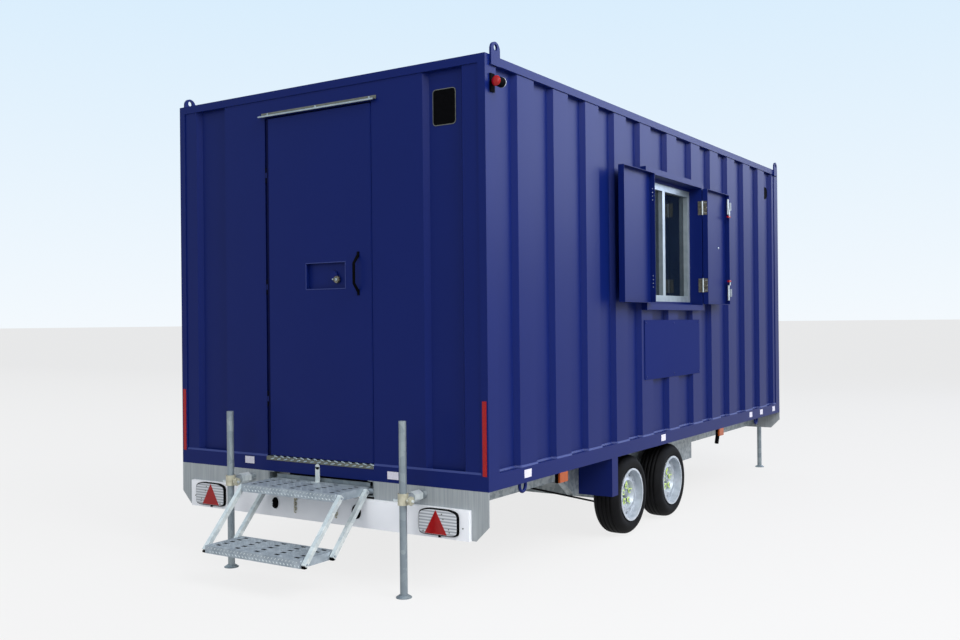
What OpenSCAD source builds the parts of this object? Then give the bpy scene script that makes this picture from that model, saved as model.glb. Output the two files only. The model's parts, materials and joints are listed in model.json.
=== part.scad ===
// Towable steel site cabin: ribbed steel body on a galvanised twin-axle chassis,
// with an end door, a shuttered window, prop legs and a let-down double step.
// X runs across the cabin (right is +), Y from the door end to the drawbar, Z up from the ground.

/* [Cabin body] */
// Width of the steel body over its corner posts
body_w = 2300; // [2100:10:2500]
// Length of the steel body
body_l = 5050; // [4900:10:5800]
// Height of the steel body
body_h = 2245; // [2200:5:2500]
// Height of the body's underside above the ground
ride_h = 550; // [540:2:620]
// Thickness of the insulated walls, from the rail faces to the lining
wall_t = 105; // [95:1:130]
// Thickness of the frame rails across the wall
rail_t = 60; // [50:1:70]
// Height of the rails around the floor
bottom_rail_h = 85; // [70:1:110]
// Height of the top rails
top_rail_h = 45; // [40:1:55]
// Width of a corner post, seen from the end
post_w = 45; // [36:1:50]

/* [Ribbed sheets] */
// How far the frame stands proud of the sheet's outer face
rail_proud = 6; // [3:0.5:10]
// Depth of the ribs pressed into the sheet
rib_depth = 30; // [20:1:40]
// Width of a rib's flat outer face
rib_crest_w = 180; // [120:1:200]
// Width of a rib's sloping flank
rib_flank = 24; // [10:1:36]
// Spacing of the ribs along the sides
rib_pitch = 402; // [360:1:420]
// Spacing of the ribs beside the window
bay_pitch = 468; // [440:1:480]
// Distance from the door end to the first rib on the side
first_rib = 330; // [300:1:340]
// Inner edge of the recessed channel in the door end, from the middle
channel_in = 750; // [700:1:800]
// Outer edge of the recessed channel in the door end, from the middle
channel_out = 1004; // [940:1:1020]

/* [Floor and roof] */
// Depth of the roof panel above the wall heads
roof_sheet_drop = 5; // [3:1:10]
// Depth of the roof's cross ribs
roof_rib_depth = 18; // [10:1:24]

/* [Door] */
// Width of the door leaf
door_w = 783; // [740:1:820]
// Distance from the roof line down to the door leaf's head
door_head = 161; // [120:1:220]
// Thickness of the door leaf
door_t = 45; // [40:1:60]
// Gap at the door leaf's head and free edge
door_gap = 8; // [6:0.5:10]
// Gap at the door leaf's hinge edge, which hides the knuckles
hinge_gap = 20; // [18:0.5:24]
// Gap under the door leaf, over the threshold
door_sill_gap = 7; // [6:0.5:10]
// Setback of the door leaf behind the frame's face
door_setback = 2; // [0:0.5:5]
// Radius of a door hinge knuckle
knuckle_r = 7; // [6:0.5:9]
// Radius of a door hinge pin
hinge_pin_r = 4; // [3:0.5:5]
// Height of one knuckle
knuckle_h = 30; // [24:1:40]
// Running clearance at pins
pin_gap = 0.3; // [0.2:0.05:0.5]
// Width of the lock recess
lock_w = 293; // [240:1:320]
// Height of the lock recess
lock_h = 147; // [120:1:170]
// Depth of the lock recess
lock_d = 28; // [20:1:34]
// Distance of the lock recess from the middle of the door
lock_x = 60; // [30:1:70]
// Height of the lock recess's middle above the floor
lock_z = 1056; // [1000:1:1100]
// Sheet thickness of the lock recess pan
lock_sheet = 2; // [1.5:0.5:3]
// Radius of the lock's round escutcheon
lock_r = 26; // [20:1:30]
// Distance of the pull handle from the middle of the door
handle_x = 303; // [290:1:330]
// Height of the handle's middle over the lock's
handle_up = 5; // [0:1:40]
// Length of the pull handle
handle_l = 243; // [200:1:280]
// Rise of the handle's sloped ends along the door
handle_slope = 50; // [30:1:60]
// Length of a handle's fixing foot
handle_foot_l = 32; // [24:1:40]
// Thickness of a handle's fixing foot
handle_foot_t = 4; // [3:0.5:6]
// Bar radius of the pull handle
handle_r = 8; // [6:0.5:10]
// Distance of the pull handle's bar from the door
handle_reach = 48; // [36:1:60]
// Length of the drip rail over the door
drip_l = 873; // [840:1:960]
// Height of the drip rail
drip_h = 20; // [14:1:26]
// Reach of the drip rail
drip_reach = 32; // [20:1:40]
// Wall of the drip rail
drip_t = 3; // [2:0.5:4]
// Thickness of the threshold's tread plate
threshold_t = 3; // [2:0.5:4]
// Depth of the threshold's tread plate
threshold_d = 58; // [40:1:60]
// Height of the tread plate's nosing down the rail
nosing_h = 20; // [12:1:30]

/* [Window] */
// Width of the window opening
window_w = 1000; // [900:1:1010]
// Distance from the roof line down to the window opening's head
window_head = 380; // [340:1:420]
// Distance from the door end to the window opening
window_y = 1979; // [1960:1:2030]
// Height of the window opening above the body's underside
window_z = 980; // [960:1:1020]
// Width of the steel surround's jambs and head
surround_w = 40; // [30:1:48]
// How far the surround stands out from the rails
surround_out = 35; // [25:1:45]
// Face width of the aluminium frame
sash_w = 45; // [35:1:55]
// Depth of the aluminium frame
sash_d = 40; // [20:1:42]
// Height of the lining's lip over and under the frame
lip_h = 22; // [15:1:30]
// Distance the lip stands out from the frame
lip_out = 8; // [5:1:12]
// Depth of the reveal in front of the aluminium frame
reveal_d = 100; // [95:1:120]
// Thickness of the glass
glass_t = 6; // [4:1:10]
// Depth of the shutter trays
tray_d = 40; // [30:1:46]
// Sheet thickness of the shutter trays
tray_t = 3; // [2:0.5:4]
// Gap above and below a closed shutter
tray_gap = 7; // [6:0.5:10]
// Gap between the closed shutters
meeting_gap = 10; // [6:0.5:16]
// Radius of a shutter hinge knuckle
shutter_knuckle_r = 6; // [5:0.5:7]
// Height of a shutter hinge
shutter_hinge_h = 104; // [90:1:150]
// Width of a shutter hinge leaf
shutter_leaf_w = 36; // [28:1:38]
// Thickness of a shutter hinge leaf
shutter_leaf_t = 3; // [2:0.5:3]
// Distance of the shutter hinges from the opening's head and sill
shutter_hinge_inset = 98; // [70:1:120]
// Length of a slide bolt's body
bolt_l = 120; // [90:1:140]
// Radius of a slide bolt's rod
bolt_r = 8; // [6:0.5:9]
// Height of the access panel under the window
access_h = 406; // [340:1:420]
// Thickness of the access panel
access_t = 5; // [3:0.5:6]
// Gap between the window sill and the access panel
access_gap = 69; // [50:1:90]

/* [Corner fittings] */
// Width of a lifting eye
eye_w = 87; // [70:1:100]
// Height of a lifting eye above the roof line
eye_up = 70; // [66:1:90]
// Length of a lifting eye's foot down the post
eye_foot = 53; // [40:1:80]
// Thickness of a lifting eye
eye_t = 12; // [8:1:16]
// Radius of a lifting eye's hole
eye_hole_r = 17; // [12:1:22]
// Height of an outline lamp's base
lamp_base_h = 95; // [80:1:110]
// Radius of an outline lamp's lens
lamp_r = 26; // [20:1:30]
// Reach of an outline lamp from the post
lamp_reach = 72; // [64:1:80]
// Distance from the roof line down to the outline lamp
lamp_drop = 145; // [120:1:200]
// Thickness of the outline lamp's base
lamp_base_t = 8; // [6:1:10]
// Width of the outline lamp's base
lamp_base_w = 40; // [30:1:50]
// Length of a side marker lamp
marker_l = 95; // [80:1:110]
// Height of a side marker lamp
marker_h = 58; // [45:1:70]
// Depth of a side marker lamp
marker_d = 30; // [22:1:40]
// Distance from the door end to the rear side marker
marker_rear = 760; // [700:1:800]
// Distance from the drawbar end to the front side marker
marker_front = 1630; // [1550:1:1700]
// Rod radius of a lashing ring
ring_rod_r = 9; // [6:0.5:10]
// Outer radius of a lashing ring
ring_r = 40; // [32:1:46]
// Straight length of a lashing ring's sides
ring_leg = 18; // [10:1:30]
// Distance of the lashing rings from the door end
ring_y = 366; // [300:1:400]
// Distance from the drawbar end to the front lashing rings
ring_front = 653; // [600:1:700]

/* [Chassis] */
// Height of the end aprons
apron_h = 258; // [240:1:280]
// Depth of the front apron
front_apron_h = 147; // [130:1:170]
// Corner chamfer of the end aprons
apron_cut = 80; // [60:1:100]
// Sheet thickness of the end aprons
apron_t = 5; // [4:0.5:6]
// Length of the light board
board_l = 2084; // [1900:1:2120]
// Height of the light board
board_h = 158; // [140:1:170]
// Depth of the light board
board_d = 25; // [15:1:35]
// Width of a tail lamp
tail_w = 264; // [200:1:280]
// Height of a tail lamp
tail_h = 142; // [100:1:150]
// Corner radius of a tail lamp
tail_round = 18; // [10:1:24]
// Distance of the tail lamps from the light board's ends
tail_inset = 39; // [30:1:90]
// Depth of a tail lamp
tail_d = 30; // [24:1:40]
// Depth of the main chassis rails
rail_h = 120; // [110:1:130]
// Width of the main chassis rails
rail_w = 50; // [40:1:60]
// Section of the axle tubes
axle_box = 80; // [60:1:90]
// Radius of a stub axle
stub_r = 25; // [20:1:30]
// Distance of the middle between the axles behind the middle of the body
bogie_shift = 338; // [250:1:380]
// Distance between the axles
axle_pitch = 700; // [660:1:760]
// Distance from the rear end of the axle beams to the middle between the axles
beam_back = 970; // [900:1:1020]
// Distance from the front end of the axle beams to the middle between the axles
beam_front = 1240; // [1150:1:1300]
// Slope length at the rear end of the axle beams
beam_slope = 175; // [100:1:220]
// Width of the crossmembers
cross_w = 60; // [40:1:80]
// Distance of the end crossmembers from the ends of the body
cross_inset = 600; // [580:1:640]
// Length of the drawbar in front of the body
drawbar_l = 1180; // [1000:10:1400]
// Half spread of the drawbar at the body
drawbar_spread = 640; // [500:10:700]
// Depth of the drawbar tubes
drawbar_h = 90; // [70:1:100]
// Width of the drawbar tubes
drawbar_t = 60; // [50:1:70]
// Radius of the coupling's ball cup
cup_r = 38; // [32:1:45]

/* [Wheels] */
// Radius of the tyres
tyre_r = 262; // [255:1:268]
// Width of the tyres
tyre_w = 195; // [175:1:200]
// Radius of the tyre bead on the rim
bead_r = 165; // [155:1:172]
// How far the tyres stand inside the body's side
tyre_inset = 30; // [20:1:45]
// Height of the rim's outer lip over the bead
rim_lip = 13; // [10:1:16]
// Wall of the pressed rim
rim_t = 5; // [4:0.5:7]
// Radius of the rim's vent holes
vent_r = 10; // [7:1:12]
// Thickness of the splash plates
splash_t = 4; // [3:0.5:5]
// Gap between a splash plate and the tyre behind it
splash_gap = 40; // [25:1:60]
// Length of a splash plate's side flange
splash_flange = 85; // [60:1:110]
// Height of a splash plate
splash_h = 243; // [200:1:260]

/* [Prop legs] */
// Length of a prop leg
leg_l = 912; // [860:1:980]
// Radius of a prop leg's tube
leg_r = 20; // [15:0.5:22]
// Radius of a prop leg's foot
foot_r = 42; // [34:1:50]
// Height of a prop leg's dished foot
foot_h = 16; // [12:1:30]
// Running clearance of a prop leg in its clamp
leg_gap = 0.4; // [0.3:0.05:0.6]
// Wall of a clamp sleeve
sleeve_t = 8; // [6:0.5:10]
// Height of a clamp sleeve
sleeve_h = 60; // [50:1:70]
// Height of a clamp's middle above the ground
sleeve_z = 508; // [490:1:520]
// Distance of the legs from the end aprons
leg_out = 178; // [150:1:200]
// Rear right leg from the middle
leg_right_x = 737; // [650:1:800]
// Rear left leg from the middle
leg_left_x = 529; // [510:1:640]
// Front legs from the middle
leg_front_x = 900; // [820:1:950]
// Radius of a leg bracket's arm
arm_r = 24; // [18:1:27]

/* [Double step] */
// Width of the step treads
step_w = 700; // [640:1:740]
// Thickness of the step treads
tread_t = 40; // [34:1:46]
// Height of the upper tread above the ground
upper_tread_z = 510; // [490:1:516]
// Depth of the upper tread in front of the apron
upper_reach = 265; // [240:1:280]
// Depth of the lower tread
tread_d = 275; // [250:1:285]
// Forward offset of the lower tread
tread_lead_l = 270; // [240:1:290]
// Drop from the upper to the lower tread
tread_drop = 296; // [270:1:300]
// Section of the step's links
link_w = 25; // [20:1:28]
// Distance between the front and rear links
link_gap = 215; // [200:1:225]
// Radius of the step's pivot pins
pivot_r = 6; // [5:0.5:7]
// Sheet thickness of the treads
tread_sheet = 4; // [3:0.5:5]
// Gap between a tread and its links
link_side_gap = 3; // [2:0.5:5]
// Distance of a front pivot behind a tread's nosing
pivot_inset = 20; // [16:1:26]
// Length of a drain slot in the treads
slot_l = 36; // [28:1:44]
// Width of a drain slot in the treads
slot_w = 14; // [10:1:18]
// Spacing of the drain slots across a tread
slot_pitch = 92; // [84:1:100]
// Length of the runners under the floor
runner_l = 520; // [420:1:540]
// Width of a runner
runner_w = 42; // [36:1:48]
// Radius of the rollers that carry the step in its runners
roller_r = 16; // [12:1:20]

/* [Hidden] */
$fn = 48;

// Colours of the finishes
blue = "#1b2460";
galvanised = "#9aa5a8";
zinc = "#c4b98a";
aluminium = "#c9cdd0";
white = "#e6e9ee";
black = "#1b1b1d";
rubber = "#1d1d1e";
amber = "#d2701e";
red = "#a0141a";

// Small overlap that welds two shapes of one piece together
weld = 1;
// Hairline seam between two lengths of one piece
seam = 0.3;

// Levels and planes of the body
half_w = body_w / 2;
floor_z = ride_h + bottom_rail_h;
top_z = ride_h + body_h;
head_z = top_z - top_rail_h;
inner_x = half_w - wall_t;
crest_x = half_w - rail_proud;
valley_x = crest_x - rib_depth;
frame_in_x = half_w - post_w;
post_d = wall_t;
side_y0 = post_d;
side_y1 = body_l - post_d;

// Doorway and door
doorway_left = door_w / 2 + hinge_gap;
doorway_right = door_w / 2 + door_gap;
door_z0 = floor_z + threshold_t + door_sill_gap;
door_z1 = top_z - door_head;
door_h = door_z1 - door_z0;
doorway_z1 = door_z1 + door_gap;
hinge_x = -door_w / 2 - hinge_gap / 2;
hinge_y = door_setback + knuckle_r;
hinge_leaf_t = 4;
hinge_count = 3;
lock_zc = floor_z + lock_z;

// Window opening and shutters
window_y1 = window_y + window_w;
window_z0 = ride_h + window_z;
window_z1 = top_z - window_head;
window_h = window_z1 - window_z0;
surround_x = half_w + surround_out;
sash_x = surround_x - reveal_d;
sash_z0 = window_z0 + lip_h;
sash_z1 = window_z1 - lip_h;
tray_h = window_h - 2 * tray_gap;
leaf_stack = 2 * shutter_leaf_t + pin_gap;
tray_w = (window_w - 2 * leaf_stack - meeting_gap) / 2;
shutter_pin_x = surround_x + shutter_knuckle_r;
tray_x = shutter_pin_x + pin_gap;
tray_reach = tray_x + tray_d - half_w;
bolt_reach = tray_reach + 2 * bolt_r;
shutter_hinge_z = [window_z0 + shutter_hinge_inset, window_z1 - shutter_hinge_inset - shutter_hinge_h];
shutter_pin_y = -shutter_leaf_t - pin_gap / 2;
shutter_knuckle_h = shutter_hinge_h / 3;
bay_y0 = window_y - surround_w;
bay_y1 = window_y1 + surround_w;
access_z1 = window_z0 - surround_w - access_gap;

// Wheels and chassis
tyre_x = half_w - tyre_inset - tyre_w / 2;
tyre_in_x = tyre_x - tyre_w / 2;
wheel_gap = 15;
rail_out_x = tyre_in_x - wheel_gap;
rail_in_x = rail_out_x - rail_w;
rail_z = ride_h - rail_h;
bogie_y = body_l / 2 - bogie_shift;
axle_y = [bogie_y - axle_pitch / 2, bogie_y + axle_pitch / 2];
beam_z = tyre_r + axle_box / 2;
bead_in = 14;
hub_in_x = tyre_x - tyre_w / 2 + rim_t;
stub_out = 8;
hub_out_x = tyre_x + stub_out;
splash_y = axle_y[0] - tyre_r - splash_gap - splash_flange;

// Legs
sleeve_r = leg_r + leg_gap + sleeve_t;
leg_rear_y = -leg_out;
leg_front_y = body_l + leg_out;

// Step
link_x = step_w / 2 + link_side_gap;
upper_pivot_z = upper_tread_z - tread_t / 2;
front_pivot_y = pivot_inset - upper_reach;
rear_pivot_y = front_pivot_y + link_gap;
lower_tread_z = upper_tread_z - tread_drop;
lower_front_y = -upper_reach - tread_lead_l;
runner_z = upper_tread_z - tread_t - 2 * tread_sheet;
runner_in_x = link_x + link_side_gap;
step_notch_w = 2 * (runner_in_x + runner_w + link_side_gap);

// Middle of the whole trailer's outline on the ground
right_reach = half_w + max(bolt_reach, lamp_reach);
left_reach = half_w + eye_t;
front_reach = body_l + drawbar_l + cup_r;
datum_x = (right_reach - left_reach) / 2;
datum_y = (front_reach + lower_front_y) / 2;

// Places the modelled cabin over the origin
module at_datum() {
    translate([-datum_x, -datum_y, 0]) children();
}

module both_sides() {
    children();
    mirror([1, 0, 0]) children();
}

// Box from its lowest to its highest corner
module block(low, high) {
    translate(low) cube(high - low);
}

// Plan of a ribbed sandwich sheet along +Y: flat lining at x = lining, ribs standing out to x = crest
module ribbed_plan(lining, crest, depth, from, to, starts) {
    intersection() {
        union() {
            translate([lining, from]) square([crest - depth - lining, to - from]);
            for (start = starts)
                polygon([[crest - depth - weld, start - rib_flank],
                    [crest - depth, start - rib_flank],
                    [crest, start],
                    [crest, start + rib_crest_w],
                    [crest - depth, start + rib_crest_w + rib_flank],
                    [crest - depth - weld, start + rib_crest_w + rib_flank]]);
        }
        translate([lining, from]) square([crest - lining, to - from]);
    }
}

// Rib starts behind, beside and ahead of the window
rear_ribs = [for (i = [0 : 4]) first_rib + i * rib_pitch];
bay_ribs = [for (i = [1 : 2]) rear_ribs[4] + i * bay_pitch];
front_ribs = [for (i = [1 : 5]) bay_ribs[1] + i * rib_pitch];
side_ribs = concat(rear_ribs, bay_ribs, front_ribs);

module side_wall(from, to, z0, z1) {
    translate([0, 0, z0])
        linear_extrude(z1 - z0)
            ribbed_plan(inner_x, crest_x, rib_depth, from, to, side_ribs);
}

module floor_deck() {
    color("#6b6f72") at_datum()
        block([rail_t - half_w, rail_t, ride_h], [half_w - rail_t, body_l - rail_t, floor_z]);
}

module bottom_rails() {
    color(blue) at_datum() {
        both_sides()
            block([half_w - rail_t, side_y0, ride_h], [half_w, side_y1, floor_z]);
        for (y = [0, body_l - rail_t])
            block([-frame_in_x, y, ride_h], [frame_in_x, y + rail_t, floor_z]);
    }
}

module corner_posts() {
    color(blue) at_datum()
        both_sides()
            for (y = [0, body_l - post_d])
                block([frame_in_x, y, ride_h], [half_w, y + post_d, top_z]);
}

module top_rails() {
    color(blue) at_datum() {
        both_sides()
            block([half_w - rail_t, side_y0, head_z], [half_w, side_y1, top_z]);
        for (y = [0, body_l - rail_t])
            block([-frame_in_x, y, head_z], [frame_in_x, y + rail_t, top_z]);
    }
}

// Roof panel between the top rails, with cross ribs pressed into its sheet
module roof_panel() {
    crest_z = top_z - roof_sheet_drop;
    rib_room = body_l - 2 * rail_t;
    count = floor(rib_room / rib_pitch);
    margin = (rib_room - (count - 1) * rib_pitch - rib_crest_w) / 2;
    starts = [for (i = [0 : count - 1]) rail_t + margin + i * rib_pitch];
    color(blue) at_datum()
        translate([rail_t - half_w, 0, 0])
            rotate([0, -90, 0])
                mirror([0, 0, 1])
                    linear_extrude(body_w - 2 * rail_t)
                        ribbed_plan(head_z, crest_z, roof_rib_depth, rail_t, body_l - rail_t, starts);
}

module left_wall() {
    color(blue) at_datum()
        mirror([1, 0, 0]) side_wall(side_y0, side_y1, floor_z, head_z);
}

module right_wall_rear() {
    color(blue) at_datum() side_wall(side_y0, bay_y0, floor_z, head_z);
}

module right_wall_front() {
    color(blue) at_datum() side_wall(bay_y1, side_y1, floor_z, head_z);
}

module right_wall_over_window() {
    color(blue) at_datum() side_wall(bay_y0, bay_y1, window_z1 + surround_w, head_z);
}

module right_wall_under_window() {
    color(blue) at_datum() side_wall(bay_y0, bay_y1, floor_z, window_z0 - surround_w);
}

// Front wall with ribs spread evenly between the posts
module front_wall() {
    room = 2 * frame_in_x;
    count = floor(room / rib_pitch);
    margin = (room - (count - 1) * rib_pitch - rib_crest_w) / 2;
    starts = [for (i = [0 : count - 1]) margin - frame_in_x + i * rib_pitch];
    color(blue) at_datum()
        translate([0, body_l, floor_z])
            linear_extrude(head_z - floor_z)
                rotate(90)
                    ribbed_plan(-wall_t, -rail_proud, rib_depth, -frame_in_x, frame_in_x, starts);
}

// Wall beside the doorway, with one recessed channel pressed into its sheet
module rear_wall_side(edge_x) {
    face_y = rail_proud;
    channel_y = rail_proud + rib_depth;
    translate([0, 0, floor_z])
        linear_extrude(head_z - floor_z)
            polygon([[edge_x, wall_t],
                [edge_x, face_y],
                [channel_in, face_y],
                [channel_in + rib_flank, channel_y],
                [channel_out - rib_flank, channel_y],
                [channel_out, face_y],
                [frame_in_x, face_y],
                [frame_in_x, wall_t]]);
}

module rear_wall_right() {
    color(blue) at_datum() rear_wall_side(doorway_right);
}

module rear_wall_left() {
    color(blue) at_datum() mirror([1, 0, 0]) rear_wall_side(doorway_left);
}

module rear_wall_over_door() {
    color(blue) at_datum()
        block([-doorway_left, rail_proud, doorway_z1], [doorway_right, wall_t, head_z]);
}

// Heights of the door hinges' middles
function hinge_z(i) = door_z0 + door_h * (2 * i + 1) / (2 * hinge_count);

// Door leaf with its lock recess and the knuckles that run on the hinge pins
module door_leaf() {
    color(blue) at_datum() {
        difference() {
            block([-door_w / 2, door_setback, door_z0], [door_w / 2, door_setback + door_t, door_z1]);
            block([lock_x - lock_w / 2, door_setback - weld, lock_zc - lock_h / 2],
                [lock_x + lock_w / 2, door_setback + lock_d, lock_zc + lock_h / 2]);
        }
        for (i = [0 : hinge_count - 1])
            difference() {
                translate([hinge_x, hinge_y, hinge_z(i) - knuckle_h / 2]) {
                    cylinder(h = knuckle_h, r = knuckle_r);
                    block([0, -hinge_leaf_t / 2, 0], [hinge_gap / 2 + weld, hinge_leaf_t / 2, knuckle_h]);
                }
                translate([hinge_x, hinge_y, hinge_z(i) - knuckle_h])
                    cylinder(h = 2 * knuckle_h, r = hinge_pin_r + pin_gap);
            }
    }
}

// Outer knuckles on the jamb, with the pins through all three
module door_hinges() {
    color(blue) at_datum()
        for (i = [0 : hinge_count - 1])
            translate([hinge_x, hinge_y, hinge_z(i)]) {
                reach = 3 * knuckle_h / 2;
                translate([0, 0, -reach]) cylinder(h = 2 * reach, r = hinge_pin_r);
                for (z = [-reach, knuckle_h / 2 + pin_gap]) {
                    translate([0, 0, z]) cylinder(h = knuckle_h - pin_gap, r = knuckle_r);
                    block([-hinge_gap / 2, -hinge_leaf_t / 2, z], [0, hinge_leaf_t / 2, z + knuckle_h - pin_gap]);
                }
            }
}

module lock_box() {
    fit = pin_gap;
    back_y = door_setback + lock_d;
    color(blue) at_datum() {
        difference() {
            block([lock_x - lock_w / 2 + fit, door_setback, lock_zc - lock_h / 2 + fit],
                [lock_x + lock_w / 2 - fit, back_y, lock_zc + lock_h / 2 - fit]);
            block([lock_x - lock_w / 2 + lock_sheet, door_setback - weld, lock_zc - lock_h / 2 + lock_sheet],
                [lock_x + lock_w / 2 - lock_sheet, back_y - lock_sheet, lock_zc + lock_h / 2 - lock_sheet]);
        }
        translate([lock_x + lock_w / 6, back_y - lock_sheet + weld, lock_zc])
            rotate([90, 0, 0]) cylinder(h = lock_d / 2, r = lock_r);
    }
}

// Bow-shaped pull handle: a straight grip, sloped ends and two fixing feet
module door_handle() {
    bar_y = door_setback - handle_reach + handle_r;
    rise = door_setback - bar_y;
    foot_z = handle_l / 2 - handle_foot_l;
    grip_half = foot_z + handle_foot_l / 2 - handle_slope;
    lean = atan2(rise, handle_slope);
    color(black) at_datum()
        translate([handle_x, 0, lock_zc + handle_up])
            difference() {
                union() {
                    translate([0, bar_y, -grip_half]) cylinder(h = 2 * grip_half, r = handle_r);
                    for (end = [0, 1])
                        mirror([0, 0, end]) {
                            translate([0, bar_y, grip_half]) {
                                sphere(r = handle_r);
                                rotate([-lean, 0, 0])
                                    cylinder(h = sqrt(pow(rise, 2) + pow(handle_slope, 2)), r = handle_r);
                            }
                            block([-handle_r, door_setback - handle_foot_t, foot_z],
                                [handle_r, door_setback + weld, handle_l / 2]);
                        }
                }
                block([-handle_reach, door_setback, -handle_l], [handle_reach, door_setback + handle_reach, handle_l]);
            }
}

// Drip rail that throws rain clear of the door, and the tread plate on the threshold
module door_trim() {
    color(aluminium) at_datum() {
        translate([-drip_l / 2, rail_proud, doorway_z1 + drip_h / 2])
            rotate([90, 0, 90])
                linear_extrude(drip_l)
                    polygon([[0, 0],
                        [0, drip_h],
                        [-drip_t, drip_h],
                        [-drip_t, drip_t],
                        [-drip_reach, -drip_t],
                        [-drip_reach, -2 * drip_t],
                        [-drip_t, 0]]);
        block([-doorway_left, 0, floor_z], [doorway_right, threshold_d, floor_z + threshold_t]);
        block([-doorway_left, -threshold_t, floor_z - nosing_h], [doorway_right, 0, floor_z + threshold_t]);
    }
}

// Frame of the sliding window with its meeting stile
module window_frame() {
    mid = window_y + window_w / 2;
    color(aluminium) at_datum()
        difference() {
            block([sash_x - sash_d, window_y, sash_z0], [sash_x, window_y1, sash_z1]);
            for (y = [[window_y + sash_w, mid - sash_w / 2], [mid + sash_w / 2, window_y1 - sash_w]])
                block([sash_x - sash_d - weld, y[0], sash_z0 + sash_w],
                    [sash_x + weld, y[1], sash_z1 - sash_w]);
        }
}

module window_glass() {
    mid = window_y + window_w / 2;
    glass_x = sash_x - sash_d + glass_t;
    color("#8fa3ad") at_datum()
        for (y = [[window_y + sash_w, mid - sash_w / 2], [mid + sash_w / 2, window_y1 - sash_w]])
            block([glass_x - glass_t / 2, y[0], sash_z0 + sash_w],
                [glass_x + glass_t / 2, y[1], sash_z1 - sash_w]);
}

// Steel lining of the window opening: it stands out from the wall, with lips over and under the frame
module window_surround() {
    color(blue) at_datum() {
        for (y = [bay_y0, window_y1])
            block([inner_x, y, window_z0 - surround_w],
                [surround_x, y + surround_w, window_z1 + surround_w]);
        for (z = [window_z0 - surround_w, window_z1])
            block([inner_x, window_y + seam, z], [surround_x, window_y1 - seam, z + surround_w]);
        for (z = [window_z0 - weld, sash_z1])
            block([inner_x, window_y + seam, z], [sash_x + lip_out, window_y1 - seam, z + lip_h + weld]);
    }
}

// Shutter tray laid open along +Y from its hinge line, its flanges turned out
module shutter_tray() {
    difference() {
        block([tray_x, 0, window_z0 + tray_gap], [tray_x + tray_d, tray_w, window_z0 + tray_gap + tray_h]);
        block([tray_x + tray_t, tray_t, window_z0 + tray_gap + tray_t],
            [tray_x + tray_d + weld, tray_w - tray_t, window_z0 + tray_gap + tray_h - tray_t]);
        for (z = shutter_hinge_z)
            translate([shutter_pin_x, shutter_pin_y, z - weld])
                cylinder(h = shutter_hinge_h + 2 * weld, r = shutter_knuckle_r + pin_gap);
    }
}

// Places a shutter drawn along +Y at the front or the rear jamb
module at_front_jamb() {
    translate([0, window_y1, 0]) children();
}

module at_rear_jamb() {
    translate([0, window_y, 0]) mirror([0, 1, 0]) children();
}

module front_shutter() {
    color(blue) at_datum() at_front_jamb() shutter_tray();
}

module rear_shutter() {
    color(blue) at_datum() at_rear_jamb() shutter_tray();
}

// Leaf that carries a shutter: the middle knuckle, bored for the pin
module shutter_leaves() {
    for (z = shutter_hinge_z)
        translate([shutter_pin_x, 0, z + shutter_knuckle_h + pin_gap])
            difference() {
                union() {
                    translate([0, shutter_pin_y, 0])
                        cylinder(h = shutter_knuckle_h - 2 * pin_gap, r = shutter_knuckle_r);
                    block([pin_gap, -shutter_leaf_t, 0],
                        [pin_gap + shutter_leaf_w, 0, shutter_knuckle_h - 2 * pin_gap]);
                }
                translate([0, shutter_pin_y, -weld])
                    cylinder(h = shutter_knuckle_h + 2 * weld, r = shutter_knuckle_r / 2 + pin_gap);
            }
}

module rear_shutter_fittings() {
    color(zinc) at_datum() at_rear_jamb() shutter_leaves();
}

// Leaves and two slide bolts on the free edge of the front shutter
module front_shutter_fittings() {
    edge_y = tray_w - tray_t;
    z0 = window_z0 + tray_gap + tray_t;
    z1 = z0 + tray_h - 2 * tray_t;
    color(zinc) at_datum() at_front_jamb() {
        shutter_leaves();
        for (z = [z0 + bolt_l / 4, z1 - bolt_l * 5 / 4])
            translate([tray_x + tray_d - bolt_r, edge_y - bolt_r, z]) {
                cylinder(h = bolt_l, r = bolt_r);
                block([-bolt_r, 0, bolt_l / 4], [3 * bolt_r, bolt_r, bolt_l * 3 / 4]);
            }
    }
}

// Fixed hinge leaves on the jambs, with the outer knuckles and pins
module shutter_hinge_pair() {
    for (z = shutter_hinge_z)
        translate([shutter_pin_x, 0, z]) {
            translate([0, shutter_pin_y, 0]) cylinder(h = shutter_hinge_h, r = shutter_knuckle_r / 2);
            for (k = [0, 2])
                translate([0, shutter_pin_y, k * shutter_knuckle_h])
                    cylinder(h = shutter_knuckle_h, r = shutter_knuckle_r);
            block([-shutter_leaf_w, -shutter_leaf_t, 0],
                [-shutter_knuckle_r - pin_gap, 0, shutter_hinge_h]);
            for (k = [0, 2])
                block([-shutter_knuckle_r - weld, -shutter_leaf_t, k * shutter_knuckle_h],
                    [0, 0, (k + 1) * shutter_knuckle_h]);
        }
}

module shutter_hinges() {
    color(zinc) at_datum() {
        at_front_jamb() shutter_hinge_pair();
        at_rear_jamb() shutter_hinge_pair();
    }
}

module access_panel() {
    color(blue) at_datum()
        block([crest_x, bay_y0 + surround_w, access_z1 - access_h],
            [crest_x + access_t, bay_y1 - surround_w / 2, access_z1]);
}

// Lifting eye welded to the outer side of a corner post
module lifting_eye() {
    round_r = eye_w / 2;
    rotate([90, 0, 90])
        linear_extrude(eye_t)
            difference() {
                union() {
                    translate([-round_r, -eye_foot]) square([eye_w, eye_foot + eye_up - round_r]);
                    translate([0, eye_up - round_r]) circle(r = round_r);
                }
                translate([0, eye_up - eye_hole_r - eye_t]) circle(r = eye_hole_r);
            }
}

module lifting_eyes() {
    color(blue) at_datum()
        both_sides()
            for (y = [eye_w, body_l - eye_w])
                translate([half_w, y, top_z]) lifting_eye();
}

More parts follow.
